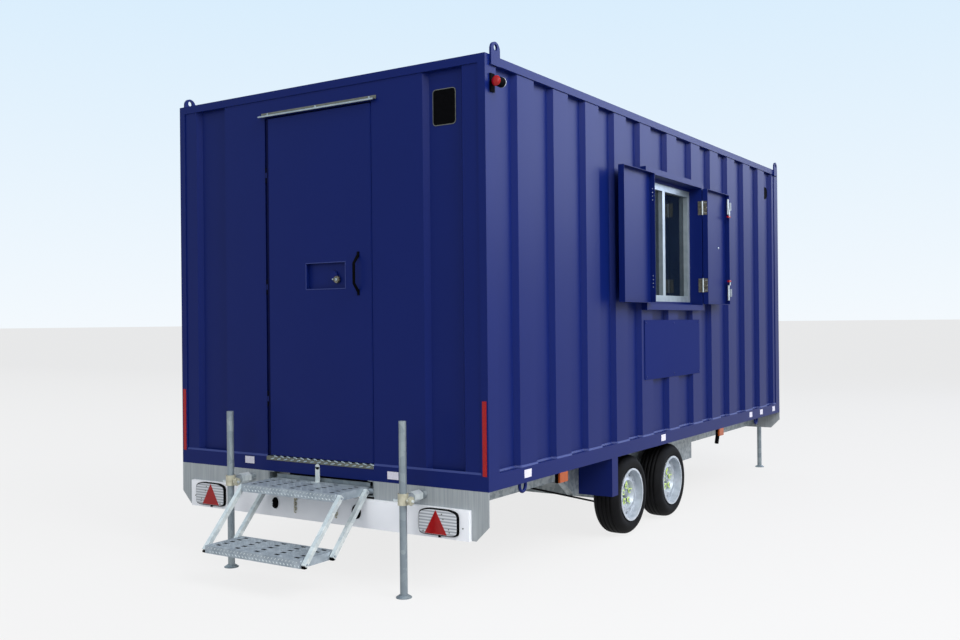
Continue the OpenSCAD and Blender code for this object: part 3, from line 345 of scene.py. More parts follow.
def rod_into(shape, start, end, radius, sides=24, tip=None):
    """Adds a round bar, or a cone if its tip radius differs, between two points."""
    along = Vector(end) - Vector(start)
    turn = along.to_track_quat("Z", "Y").to_matrix().to_4x4()
    place = Matrix.Translation((Vector(start) + Vector(end)) / 2) @ turn
    bmesh.ops.create_cone(shape, cap_ends=True, segments=sides, radius1=radius,
                          radius2=radius if tip is None else tip, depth=along.length, matrix=place)


def ball_into(shape, centre, radius, flat=(1, 1, 1)):
    """Adds a ball, squashed by three factors."""
    place = Matrix.Translation(centre) @ Matrix.Diagonal(Vector(flat).to_4d())
    bmesh.ops.create_uvsphere(shape, u_segments=20, v_segments=12, radius=radius, matrix=place)


def tear_into(shape, centre, size, turn, lean):
    """Adds one raised tread bar: a flat ball, turned about an axis."""
    leant = Matrix.Translation(centre) @ Matrix.Rotation(lean, 4, turn)
    place = leant @ Matrix.Diagonal(size.to_4d())
    bmesh.ops.create_uvsphere(shape, u_segments=8, v_segments=4, radius=1, matrix=place)


def join_rows(shape, rows):
    """Closes rows of points into a skin, round the rows and round each of them."""
    for a, b in zip(rows, rows[1:] + rows[:1]):
        for j in range(len(a)):
            k = (j + 1) % len(a)
            shape.faces.new((a[j], b[j], b[k], a[k]))


def ring_into(shape, centre, axis, ring_r, rod_r, steps=24, sides=10):
    """Adds a round ring about an axis."""
    turn = Vector(axis).to_track_quat("Z", "Y").to_matrix()
    rows = []
    for i in range(steps):
        around = math.tau * i / steps
        out = Vector((math.cos(around), math.sin(around), 0))
        row = []
        for j in range(sides):
            tube = math.tau * j / sides
            point = out * (ring_r + rod_r * math.cos(tube)) + Vector((0, 0, rod_r * math.sin(tube)))
            row.append(shape.verts.new(Vector(centre) + turn @ point))
        rows.append(row)
    join_rows(shape, rows)


def lathe_into(shape, profile, centre, steps=72):
    """Adds a ring turned about X from (radius, across) points."""
    rows = []
    for i in range(steps):
        turn = math.tau * i / steps
        out = Vector((0, math.cos(turn), math.sin(turn)))
        rows.append([shape.verts.new(centre + out * radius + Vector((across, 0, 0)))
                     for radius, across in profile])
    join_rows(shape, rows)


def loft_into(shape, outline, other):
    """Adds a solid between two outlines of as many points."""
    first = [shape.verts.new(p) for p in outline]
    second = [shape.verts.new(p) for p in other]
    shape.faces.new(first)
    shape.faces.new(second[::-1])
    for i in range(len(first)):
        k = (i + 1) % len(first)
        shape.faces.new((first[k], first[i], second[i], second[k]))


def prism_into(shape, outline, shift):
    """Adds a flat plate from its outline's points and the shift to its other face."""
    loft_into(shape, outline, [Vector(p) + Vector(shift) for p in outline])


def rounded_outline(centre, wide, high, radius, steps=6):
    """Points round an upright rectangle with rounded corners."""
    points = []
    for quarter, (side, up) in enumerate(((1, 1), (-1, 1), (-1, -1), (1, -1))):
        for i in range(steps + 1):
            turn = math.tau * (quarter + i / steps) / 4
            x = side * (wide / 2 - radius) + radius * math.cos(turn)
            z = up * (high / 2 - radius) + radius * math.sin(turn)
            points.append(centre + Vector((x, 0, z)))
    return points


def bowed_outline(centre, wide, high, rise, steps=48, softness=0.28):
    """Points round an upright plate with soft corners and a bowed top."""
    points = []
    for i in range(steps):
        turn = math.tau * (i + 0.5) / steps
        x = math.copysign(abs(math.cos(turn)) ** softness, math.cos(turn))
        z = math.copysign(abs(math.sin(turn)) ** softness, math.sin(turn)) * high / 2
        bow = rise * (1 - x * x) if z > 0 else 0
        points.append(centre + Vector((x * wide / 2, 0, z + bow)))
    return points


class CabinFinish(bpy.types.PropertyGroup):
    """Colours of the cabin."""

    enamel: FloatVectorProperty(name="Blue enamel", description="Colour of the painted steel, linear",
                                subtype="COLOR", size=3, min=0, max=1, default=linear("#0B1B5A")[:3])
    # The sealant colour also paints the highlight on the lip round the lock recess
    sealant: FloatVectorProperty(name="Sealant", description="Colour of the joint sealant, linear",
                                 subtype="COLOR", size=3, min=0, max=1, default=linear("#2E3A74")[:3])


class CabinSizes(bpy.types.PropertyGroup):
    """Sizes of the small fittings."""

    strip_w: FloatProperty(name="Reflector width", description="Width of a rear reflector strip",
                           unit="LENGTH", default=26 * MM)
    strip_h: FloatProperty(name="Reflector height", description="Height of a rear reflector strip",
                           unit="LENGTH", default=385 * MM)
    screw_r: FloatProperty(name="Screw head", description="Radius of a panel screw's head",
                           unit="LENGTH", default=8 * MM)
    nut_r: FloatProperty(name="Wheel nut", description="Radius of a wheel nut",
                         unit="LENGTH", default=11 * MM)
    nuts: IntProperty(name="Wheel nuts", description="Nuts on one wheel", default=5, min=3, max=8)
    lamp_w: FloatProperty(name="Tail lamp", description="Width of a tail lamp",
                          unit="LENGTH", default=249 * MM)
    first_rib: FloatProperty(name="First rib", description="Distance of the first crest from the door end",
                             unit="LENGTH", default=330 * MM)
    rib_pitch: FloatProperty(name="Rib pitch", description="Distance from rib to rib",
                             unit="LENGTH", default=402 * MM)
    bay_pitch: FloatProperty(name="Bay pitch", description="Distance from rib to rib beside the window",
                             unit="LENGTH", default=468 * MM)
    rib_crest: FloatProperty(name="Rib crest", description="Width of a rib's crest",
                             unit="LENGTH", default=180 * MM)
    rib_flank: FloatProperty(name="Rib flank", description="Width of a rib's flank",
                             unit="LENGTH", default=24 * MM)
    rib_depth: FloatProperty(name="Rib depth", description="Depth of a rib",
                             unit="LENGTH", default=30 * MM)
    lining_t: FloatProperty(name="Lining", description="Thickness of the inner lining sheets",
                            unit="LENGTH", default=2 * MM)


def fitting_sizes():
    """The sizes of the small fittings, held on the scene."""
    return bpy.context.scene.cabin_sizes


def paint_where(node, finish, chosen):
    """Puts a second finish on the faces of a frame piece that a test of middle and normal picks."""
    piece = NODES[node]
    piece.data.materials.append(finish_named(finish))
    last = len(piece.data.materials) - 1
    for face in piece.data.polygons:
        middle = piece.matrix_world @ face.center
        if chosen(middle, piece.matrix_world.to_3x3() @ face.normal):
            face.material_index = last


FINISH_OF_SLOT = {
    "blue_paint": "blue_enamel_sheet",
    "floor_board": "phenolic_birch_ply",
    "black_plastic": "black_nylon_and_shade",
    "aluminium_trim": "anodised_aluminium",
    "window_pane": "tinted_float_glass",
    "zinc_plate": "dull_rolled_steel",
    "amber_lens": "amber_acrylic_lens",
    "galvanised_steel": "hot_dip_galvanised_steel",
    "white_paint": "white_enamel",
    "lamp_lens": "black_nylon_and_shade",
    "tyre_rubber": "rubber_and_shade",
}

# Frame pieces whose finish is not that of their slot
FINISH_OF_NODE = {
    "step_upper": "galvanised_tread_sheet",
    "step_lower": "galvanised_tread_sheet",
    "step_front_links": "bright_galvanised_tube",
    "step_rear_links": "bright_galvanised_tube",
    "access_panel": "blue_powder_coat",
    "end_aprons": "galvanised_drawn_sheet",
    # The door hinges are black as painted shade, so the dark line of the hinge-side gap stays whole
    "door_hinges": "black_nylon_and_shade",
}
FINISH_OF_NODE.update({"leg_" + spot: "galvanised_tube" for spot in LEGS})
FINISH_OF_NODE.update({"rim_" + spot: "silver_wheel_lacquer" for spot in WHEELS})


class CABIN_OT_finishes(bpy.types.Operator):
    """Makes the finishes and puts them on the frame's pieces"""

    bl_idname = "cabin.finishes"
    bl_label = "Finishes"

    def execute(self, context):
        colours = context.scene.cabin_finish
        blue_enamel("blue_enamel_sheet", tuple(colours.enamel), roughness=0.4, gloss=0.12)
        blue_enamel("blue_powder_coat", tuple(colours.enamel), roughness=0.7, gloss=0.08)
        # Lighter blue: the sealant's own colour, and a painted highlight on the lock recess lip and along the
        # floor rails
        blue_enamel("sealant_and_highlight_blue", tuple(colours.sealant), roughness=0.5, gloss=0.3)
        galvanised_steel("hot_dip_galvanised_steel", "#7F888C", "#9DA4A7", size_mm=22)
        galvanised_steel("galvanised_tube", "#79838A", "#8B9599", size_mm=40)
        galvanised_steel("bright_galvanised_tube", "#C4CCCD", "#D6DCDB", size_mm=26)
        drawn_galvanised("galvanised_drawn_sheet", "#8D9396", "#A1A6A8", streak_mm=9, length_mm=300)
        ribbed_lens("clear_acrylic_lens", "#8F9499", "#D2D5D9", rib_mm=16)
        for row in MOTTLED_FINISHES:
            mottled_finish(*row)
        for part in FRAME["record"]["subparts"]:
            node = part["node"]
            slots = NODES[node].data.materials
            slots.clear()
            slots.append(finish_named(FINISH_OF_NODE.get(node, FINISH_OF_SLOT[part["material_slot"]])))

        # The drip rail's faces that don't face up take dull olive aluminium as painted shade, and its upward
        # faces keep the bright anodised finish; the threshold's front faces take the same olive
        door_middle, nearly_level, facing_out = 2.0, 0.2, -0.5
        paint_where("door_trim", "weathered_aluminium_and_shade", lambda middle, normal: normal.z < nearly_level and (
            middle.z > door_middle or normal.y < facing_out))
        knuckle_r = 6.2 * MM
        for node in ("shutter_hinges", "front_shutter_fittings", "rear_shutter_fittings"):
            paint_where(node, "bright_zinc_plate", lambda middle, normal: abs(middle.x - PIN_X) < knuckle_r)
        bolts_from = corners("front_shutter")[1].y - 60 * MM
        paint_where("front_shutter_fittings", "bright_zinc_plate",
                    lambda middle, normal: middle.y > bolts_from)
        sleeve_r = 29 * MM
        legs = [sum(corners("leg_" + spot), Vector()) / 2 for spot in LEGS]
        paint_where("leg_brackets", "yellow_zinc_plate", lambda middle, normal: min(
            (middle.xy - leg.xy).length for leg in legs) < sleeve_r)
        return {"FINISHED"}


# Middles of the blank labels in millimetres: across and up on the door end, along the window side
REAR_LABELS = ((-555, 605), (533, 590))
SIDE_LABELS = (396, 2278, 4208, 4502, 4865)


class CABIN_OT_rear_marks(bpy.types.Operator):
    """Adds the red reflector strips, the plain plate and the blank labels"""

    bl_idname = "cabin.rear_marks"
    bl_label = "Marks"

    def execute(self, context):
        sizes = fitting_sizes()
        strips, border, plate, labels = shapes(4)
        foot, inset, strip_t = 629 * MM, 9.5 * MM, 3 * MM
        for side in (-1, 1):
            outer = side * (HALF_W - inset)
            near, far = sorted((outer, outer - side * sizes.strip_w))
            box_into(strips, at(near, -strip_t, foot), at(far, 0, foot + sizes.strip_h))
        new_object("reflector_strips", strips, "red_acrylic_lens", "cabin", bevel=0.6 * MM)

        border_w, border_h, border_r, border_t = 148 * MM, 193 * MM, 20 * MM, 3 * MM
        plate_w, plate_h, plate_r, plate_t = 140 * MM, 185 * MM, 17 * MM, 1.5 * MM
        channel = corners("rear_wall_over_door")[0].y + sizes.rib_depth
        centre = Vector((MIDDLE_X + 872 * MM, channel - border_t, 2557 * MM))
        prism_into(border, rounded_outline(centre, border_w, border_h, border_r), (0, border_t, 0))
        proud = centre - mm(0, 1, 0)
        prism_into(plate, rounded_outline(proud, plate_w, plate_h, plate_r), (0, plate_t, 0))
        new_object("plain_plate_border", border, "weathered_aluminium_and_shade", "cabin")
        new_object("plain_plate", plate, "black_nylon_and_shade", "cabin")

        half_w, rear_half_h, side_half_h, thin = 38, 21, 22, 0.6
        side_up = 597 * MM
        for across, up in REAR_LABELS:
            centre = at_mm(across, 0, up)
            box_into(labels, centre - mm(half_w, thin, rear_half_h), centre + mm(half_w, 0, rear_half_h))
        for along in SIDE_LABELS:
            centre = at(HALF_W, along * MM, side_up)
            box_into(labels, centre - mm(0, half_w, side_half_h), centre + mm(thin, half_w, side_half_h))
        new_object("blank_labels", labels, "blank_vinyl_label", "cabin")
        return {"FINISHED"}


# Section of a bead of sealant: shares of its width and height
BEAD_SECTION = ((0, 0), (1, 0), (0.5, 0.75), (0, 1))


class CABIN_OT_joint_sealant(bpy.types.Operator):
    """Adds the beads of sealant where the wall sheets stand on the floor rails"""

    bl_idname = "cabin.joint_sealant"
    bl_label = "Joint sealant"

    def execute(self, context):
        sizes = fitting_sizes()
        ribs, before_window, window_bays = 12, 4, 2
        wide, high = 6 * MM, 11 * MM
        wall_low, wall_high = corners("left_wall")
        foot, start, end = wall_low.z, wall_low.y - DOOR_END, wall_high.y - DOOR_END
        crest = HALF_W - wide
        valley = crest - sizes.rib_depth
        path = [(valley, start)]
        for i in range(ribs):
            wider = max(0, min(i - before_window, window_bays))
            first = sizes.first_rib + sizes.rib_pitch * i + wider * (sizes.bay_pitch - sizes.rib_pitch)
            last = first + sizes.rib_crest
            path += [(valley, first - sizes.rib_flank), (crest, first), (crest, last),
                     (valley, last + sizes.rib_flank)]
        path = [p for p in path if p[1] < end]
        path.append((path[-1][0], end))
        beads = bmesh.new()
        for side in (-1, 1):
            sections = [[at(side * (x + wide * out), y, foot + high * up) for out, up in BEAD_SECTION]
                        for x, y in path]
            for section, following in zip(sections, sections[1:]):
                loft_into(beads, section, following)
        wall_y = corners("rear_wall_over_door")[0].y
        reach = DOOR_END - wall_y
        for name in ("rear_wall_left", "rear_wall_right"):
            low, far = corners(name)
            section = [(low.x, wall_y + reach * out, foot + high * up) for out, up in BEAD_SECTION]
            prism_into(beads, section, (far.x - low.x, 0, 0))
        # The beads' light blue is partly the sealant's own colour and partly a painted highlight along the
        # floor rails' top edge
        new_object("sealant_beads", beads, "sealant_and_highlight_blue", "cabin")
        return {"FINISHED"}


# Screws of a tail lamp's lens in millimetres: outward and up from its middle
LENS_SCREWS = ((27, 50), (36, 25), (71, -25), (75, -41), (-92, -46))


class CABIN_OT_tail_lamps(bpy.types.Operator):
    """Adds the tail lamps: housings, ribbed lenses, red triangles and screws"""

    bl_idname = "cabin.tail_lamps"
    bl_label = "Tail lamps"

    def execute(self, context):
        low, high = corners("tail_lamps")
        wide, tall, deep, rise = fitting_sizes().lamp_w, 128 * MM, 17 * MM, 14 * MM
        edge_inset, lamp_up, rim = 20 * MM, 72 * MM, 11 * MM
        nipple_r, screw_r, lens_t, mark_t = 7 * MM, 4 * MM, 4 * MM, 3 * MM
        nipple_top, nipple_end = mm(4, -8, 2), mm(4, -8, -9)
        mark_half_w, mark_h = 70, 124
        housings, lenses, marks, screws = shapes(4)
        for out, edge in ((-1, low.x), (1, high.x)):
            centre = Vector((edge - out * (edge_inset + wide / 2), high.y, low.z + lamp_up))
            prism_into(housings, bowed_outline(centre, wide, tall, rise), (0, -deep, 0))
            bottom = centre - Vector((0, 0, tall / 2))
            rod_into(housings, bottom + nipple_top, bottom + nipple_end, nipple_r, sides=16)
            face = centre - Vector((0, deep, 0))
            prism_into(lenses, bowed_outline(face, wide - rim, tall - rim, rise), (0, -lens_t, 0))
            face.y -= lens_t
            mark = face + mm(-out * 11, 0, 8) - Vector((0, 0, tall / 2))
            prism_into(marks, [mark - mm(mark_half_w, 0, 0), mark + mm(mark_half_w, 0, 0),
                               mark + mm(0, 0, mark_h)], (0, -mark_t, 0))
            for across, lift in LENS_SCREWS:
                spot = face + mm(out * across, 0, lift)
                rod_into(screws, spot, spot - mm(0, 1, 0), screw_r, sides=12)
            board_screw = centre + mm(out * 147, 0, -16)
            rod_into(screws, board_screw, board_screw - mm(0, 2, 0), screw_r, sides=12)
        housing = new_object("tail_lamp_housings", housings, "black_nylon_and_shade", "cabin")
        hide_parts("tail_lamps")
        new_object("tail_lamp_lenses", lenses, "clear_acrylic_lens", "cabin")
        new_object("warning_triangles", marks, "red_acrylic_lens", "cabin")
        new_object("lens_screws", screws, "weathered_aluminium_and_shade", "cabin")
        return {"FINISHED"}


class CABIN_OT_marker_lamps(bpy.types.Operator):
    """Adds the bases of the side markers and the two lenses of the outline lamp"""

    bl_idname = "cabin.marker_lamps"
    bl_label = "Marker lamps"

    def execute(self, context):
        low, high = corners("side_markers")
        base_in, base_out = HALF_W - 33 * MM, HALF_W - 12 * MM
        base_before, base_after, base_below = 4 * MM, 99 * MM, 2 * MM
        bases = bmesh.new()
        for along in (760 * MM, BODY_L - 1630 * MM):
            for side in (-1, 1):
                near, far = sorted((side * base_in, side * base_out))
                box_into(bases, at(near, along - base_before, low.z - base_below),
                         at(far, along + base_after, high.z))
        new_object("marker_bases", bases, "black_nylon_and_shade", "cabin", bevel=1.5 * MM)

        low, high = corners("outline_lamp")
        lens_r, lens_flat = 27 * MM, 0.3
        middle_x, middle_z = high.x - 26 * MM, (low.z + high.z) / 2
        for name, end, finish in (("outline_lamp_red_lens", low.y, "red_acrylic_lens"),
                                  ("outline_lamp_clear_lens", high.y, "clear_acrylic_lens")):
            lens = bmesh.new()
            ball_into(lens, (middle_x, end, middle_z), lens_r, (1, lens_flat, 1))
            new_object(name, lens, finish, "cabin", smooth=True)
        return {"FINISHED"}


class CABIN_OT_screws(bpy.types.Operator):
    """Adds the screws of the access panel, and the bead and screws of the drip rail"""

    bl_idname = "cabin.screws"
    bl_label = "Panel and rail screws"

    def execute(self, context):
        low, high = corners("access_panel")
        inset, flat = 22 * MM, 0.5
        screws, bead, rail_screws = shapes(3)
        for along in (low.y + inset, (low.y + high.y) / 2, high.y - inset):
            for up in (low.z + inset, high.z - inset):
                ball_into(screws, (high.x, along, up), fitting_sizes().screw_r, (flat, 1, 1))
        new_object("panel_screws", screws, "blue_enamel_sheet", "cabin", smooth=True)

        low, high = corners("door_trim")
        bead_r, bead_drop, bead_set = 5 * MM, 25 * MM, 3 * MM
        rail_screw_r, rail_screw_drop, rail_screw_set = 6 * MM, 8 * MM, 3 * MM
        rail_screw_shares = (0.056, 0.49, 0.944)
        bead_y, bead_z = low.y + bead_set, high.z - bead_drop
        rod_into(bead, (low.x, bead_y, bead_z), (high.x, bead_y, bead_z), bead_r, sides=16)
        new_object("drip_rail_bead", bead, "anodised_aluminium", "cabin")
        for share in rail_screw_shares:
            spot = (low.x + (high.x - low.x) * share, DOOR_END + rail_screw_set, high.z - rail_screw_drop)
            ball_into(rail_screws, spot, rail_screw_r, (1, flat, 1))
        new_object("drip_rail_screws", rail_screws, "anodised_aluminium", "cabin", smooth=True)
        return {"FINISHED"}


# Half section of a tyre: radius and distance from its middle, in millimetres
TYRE_PROFILE = (
    (166, 76), (172, 79), (180, 81), (184, 85), (188, 85), (200, 89), (212, 90), (224, 88), (236, 82),
    (246, 73), (253, 64), (258, 54), (260, 46), (254, 45), (254, 38), (261, 37), (262, 18), (256, 17),
    (256, 11), (262, 10),
)


class CABIN_OT_wheels(bpy.types.Operator):
    """Adds the tyres, hub caps, nuts and nut pointers of the four wheels"""

    bl_idname = "cabin.wheels"
    bl_label = "Wheels"

    def execute(self, context):
        sizes = fitting_sizes()
        hub_out, cap_l, cap_r, cap_tip_r, cap_flat = 29, 14, 26 * MM, 23 * MM, 0.3
        first_turn, nut_circle, nut_l = 0.3, 52 * MM, 22
        pointer_out, pointer_t, pointer_r, pointer_half_w, pointer_l = 14, 5, 18 * MM, 13 * MM, 36 * MM
        half = [(r * MM, x * MM) for r, x in TYRE_PROFILE]
        section = half + [(r, -x) for r, x in reversed(half)]
        for spot in WHEELS:
            body = "wheel_" + spot
            out = 1 if "right" in spot else -1
            cap, nuts, pointers, tyre = shapes(4)
            hub = sum(corners("rim_" + spot), Vector()) / 2 + mm(out * hub_out, 0, 0)
            cap_end = hub + mm(out * cap_l, 0, 0)
            rod_into(cap, hub, cap_end, cap_r, sides=32, tip=cap_tip_r)
            ball_into(cap, cap_end, cap_tip_r, (cap_flat, 1, 1))
            for i in range(sizes.nuts):
                turn = math.tau * i / sizes.nuts + first_turn
                lift = Vector((0, math.cos(turn), math.sin(turn)))
                side = Vector((0, -lift.z, lift.y))
                base = hub + lift * nut_circle
                rod_into(nuts, base, base + mm(out * nut_l, 0, 0), sizes.nut_r, sides=6)
                ring = base + mm(out * pointer_out, 0, 0)
                thick = mm(out * pointer_t, 0, 0)
                rod_into(pointers, ring, ring + thick, pointer_r, sides=20)
                prism_into(pointers, [ring + side * pointer_half_w, ring - side * pointer_half_w,
                                      ring + lift * pointer_l], thick)
            lathe_into(tyre, section, sum(corners("tyre_" + spot), Vector()) / 2)
            rubber = new_object("tyre_" + spot + "_dressed", tyre, "rubber_and_shade", body, smooth=True)
            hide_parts("tyre_" + spot)
            new_object("hub_cap_" + spot, cap, "hot_dip_galvanised_steel", body, smooth=True)
            new_object("wheel_nuts_" + spot, nuts, "hot_dip_galvanised_steel", body)
            new_object("nut_pointers_" + spot, pointers, "lime_nylon_pointer", body)
        return {"FINISHED"}


class CABIN_OT_lining(bpy.types.Operator):
    """Adds the white lining sheets inside the walls and under the roof"""

    bl_idname = "cabin.lining"
    bl_label = "Lining"

    def execute(self, context):
        t = fitting_sizes().lining_t
        wall_low, wall_high = corners("left_wall")
        foot, head = wall_low.z, wall_high.z
        left, right = wall_high.x, corners("right_wall_rear")[0].x
        rear, front = corners("rear_wall_right")[1].y, corners("front_wall")[0].y
        sill, lintel = corners("window_surround")
        door_left, door_right = corners("rear_wall_left")[1].x, corners("rear_wall_right")[0].x
        door_top = corners("rear_wall_over_door")[0].z
        sheets = bmesh.new()
        box_into(sheets, (left, rear, foot), (left + t, front, head))
        box_into(sheets, (left + t, front - t, foot), (right - t, front, head))
        box_into(sheets, (left, rear, head - t), (right, front - t, head))
        for low, high in (((rear, foot), (sill.y, head)), ((lintel.y, foot), (front, head)),
                          ((sill.y, foot), (lintel.y, sill.z)), ((sill.y, lintel.z), (lintel.y, head))):
            box_into(sheets, (right - t, low[0], low[1]), (right, high[0], high[1]))
        for low, high in (((left, foot), (door_left, head)), ((door_right, foot), (right, head)),
                          ((door_left, door_top), (door_right, head))):
            box_into(sheets, (low[0], rear, low[1]), (high[0], rear + t, high[1]))
        new_object("lining_sheets", sheets, "melamine_lining", "cabin")
        return {"FINISHED"}


# Plate lamps in millimetres: across, up, half width and half height
PLATE_LAMPS = ((-318, 371, 21, 33), (298, 377, 30, 40))

# Places of the stay chains across the light board in millimetres
CHAINS = (-158, 152)


class CABIN_OT_board_fittings(bpy.types.Operator):
    """Adds the plate lamps and the stay chains of the light board"""

    bl_idname = "cabin.board_fittings"
    bl_label = "Light board fittings"

    def execute(self, context):
        board = (corners("light_board")[0].y - DOOR_END) / MM
        bowls, lenses, chains = shapes(3)
        bowl_proud, bowl_deep = 4, 22
        lens_shift, lens_proud, lens_deep, lens_w, lens_h = 4, 14, 14, 0.4, 0.55
        for across, up, wide, tall in PLATE_LAMPS:
            ball_into(bowls, at_mm(across, board - bowl_proud, up), 1, mm(wide, bowl_deep, tall))
            ball_into(lenses, at_mm(across - lens_shift, board - lens_proud, up), 1,
                      mm(wide * lens_w, lens_deep, tall * lens_h))
        new_object("plate_lamps", bowls, "black_nylon_and_shade", "cabin", smooth=True)
        new_object("plate_lamp_lenses", lenses, "clear_acrylic_lens", "cabin", smooth=True)

        links, top, pitch, link_proud, link_r, wire_r = 8, 436, 14, 5, 9 * MM, 3 * MM
        for across in CHAINS:
            for i in range(links):
                axis = (1, 0, 0) if i % 2 else (0, 1, 0)
                ring_into(chains, at_mm(across, board - link_proud, top - pitch * i), axis, link_r, wire_r,
                          steps=14, sides=6)
        new_object("stay_chains", chains, "yellow_zinc_plate", "cabin", smooth=True)
        return {"FINISHED"}


# Ends and corners in millimetres: across the middle, along from the door end and up from the ground
BACK_BAR = ((-353, 24, 511), (353, 30, 534))
RUNNER_STOPS = (((-394, 508, 467), (-360, 514, 545)), ((360, 508, 467), (394, 514, 545)))
BRAKE_ROD = ((885, 860, 430), (885, 1720, 214))
CATCH_PLATE = ((-26, -5, 512), (6, 0, 600))
CATCH_TOP = ((-10, -5, 600), (-10, 0, 600))
CATCH_LEDGE = ((-30, -34, 508), (10, 0, 514))


def spots(places):
    """Frame points from two places in millimetres."""
    return [at_mm(*place) for place in places]


class CABIN_OT_underframe(bpy.types.Operator):
    """Adds the step's back bar and catch, a black panel of painted shade behind the step, runner stops, drain
    pipe and brake rod
    """

    bl_idname = "cabin.underframe"
    bl_label = "Underframe fittings"

    def execute(self, context):
        bar, shade_panel, pipe, catch = shapes(4)
        eased, pipe_r, rod_r, catch_r = 1 * MM, 16 * MM, 6 * MM, 16 * MM
        box_into(bar, *spots(BACK_BAR))
        new_object("step_back_bar", bar, "galvanised_tube", "cabin", bevel=eased)

        under = UNDERSIDE / MM
        # A black panel behind the step is painted shade, the dark gap under the floor; the runner stops share
        # its mesh
        shade_panel_ends = ((-352, 130, 463), (352, 136, under - 1))
        box_into(shade_panel, *spots(shade_panel_ends))
        for stop in RUNNER_STOPS:
            box_into(shade_panel, *spots(stop))
        new_object("shade_panel_and_runner_stops", shade_panel, "rubber_and_shade", "cabin", bevel=eased)

        pipe_ends = ((1060, 3655, under), (1060, 3598, 410))
        rod_into(pipe, *spots(pipe_ends), pipe_r)
        rod_into(pipe, *spots(BRAKE_ROD), rod_r, sides=12)
        new_object("pipe_and_brake_rod", pipe, "black_nylon_and_shade", "cabin")

        box_into(catch, *spots(CATCH_PLATE))
        rod_into(catch, *spots(CATCH_TOP), catch_r)
        box_into(catch, *spots(CATCH_LEDGE))
        new_object("step_catch", catch, "bright_galvanised_tube", "cabin")
        return {"FINISHED"}


class CABIN_OT_round_vent(bpy.types.Operator):
    """Adds the round vent with its slats, high on the window side"""

    bl_idname = "cabin.round_vent"
    bl_label = "Round vent"

    def execute(self, context):
        rim_r, rim_wire_r, plate_r, slat_r = 49 * MM, 6 * MM, 47 * MM, 44
        slats, slat_pitch, slat_half = 5, 16, 3
        wall = corners("right_wall_front")[1].x - MIDDLE_X - fitting_sizes().rib_depth
        centre = at(wall, 4773 * MM, 2567 * MM)
        vent = bmesh.new()
        ring_into(vent, centre + mm(3, 0, 0), (1, 0, 0), rim_r, rim_wire_r, steps=40)
        rod_into(vent, centre, centre + mm(5, 0, 0), plate_r, sides=40)
        for i in range(slats):
            up = (i - slats // 2) * slat_pitch
            reach = math.sqrt(slat_r ** 2 - up ** 2)
            box_into(vent, centre + mm(4, -reach, up - slat_half), centre + mm(9, reach, up + slat_half))
        new_object("round_vent", vent, "black_nylon_and_shade", "cabin")
        return {"FINISHED"}


# Bars through a leg clamp in millimetres: start and end across, drop and radius
CLAMP_BARS = ((-60, -28, 10, 7), (28, 66, 6, 8))


class CABIN_OT_leg_clamps(bpy.types.Operator):
    """Adds the bars, toothed knobs and rear sleeves of the leg clamps"""

    bl_idname = "cabin.leg_clamps"
    bl_label = "Leg clamps"

    def execute(self, context):
        clamp_up = 508 * MM
        teeth, knob_r, tooth_r, tooth_half, hub_half = 8, 18 * MM, 6 * MM, 7, 8
        sleeve_from, sleeve_l, sleeve_r = 70, 70, 30 * MM
        bars, knobs = shapes(2)
        for spot in LEGS:
            centre = sum(corners("leg_" + spot), Vector()) / 2
            centre.z = clamp_up
            back = 1 if "rear" in spot else -1
            for start, end, drop, radius in CLAMP_BARS:
                level = centre - mm(0, 0, drop)
                rod_into(bars, level + mm(start, 0, 0), level + mm(end, 0, 0), radius * MM, sides=16)
            hub = centre + mm(50, 0, -6)
            for i in range(teeth):
                turn = math.tau * i / teeth
                tooth = hub + Vector((0, math.cos(turn), math.sin(turn))) * knob_r
                rod_into(knobs, tooth - mm(tooth_half, 0, 0), tooth + mm(tooth_half, 0, 0), tooth_r, sides=10)
            rod_into(knobs, hub - mm(hub_half, 0, 0), hub + mm(hub_half, 0, 0), knob_r, sides=20)
            sleeve = centre + mm(0, back * sleeve_from, 0)
            rod_into(bars, sleeve, sleeve + mm(0, back * sleeve_l, 0), sleeve_r, sides=6)
        new_object("clamp_bars", bars, "bright_galvanised_tube", "cabin")
        new_object("clamp_knobs", knobs, "yellow_zinc_plate", "cabin")
        return {"FINISHED"}


# Heights of the slide bolts' rods in millimetres: from the plate to the red tip
BOLT_RODS = ((2290, 2232), (1690, 1722))

# Screws and rivets of a shutter hinge in millimetres: up from its foot, across from the leaf's inner edge
SHUTTER_LEAF_SCREWS = ((14, 12), (14, 22), (52, 26), (90, 12), (90, 22))
JAMB_LEAF_SCREWS = ((14, 12), (14, 22), (52, 17), (90, 12), (90, 22))
LEAF_RIVETS = (14, 40, 64, 90)


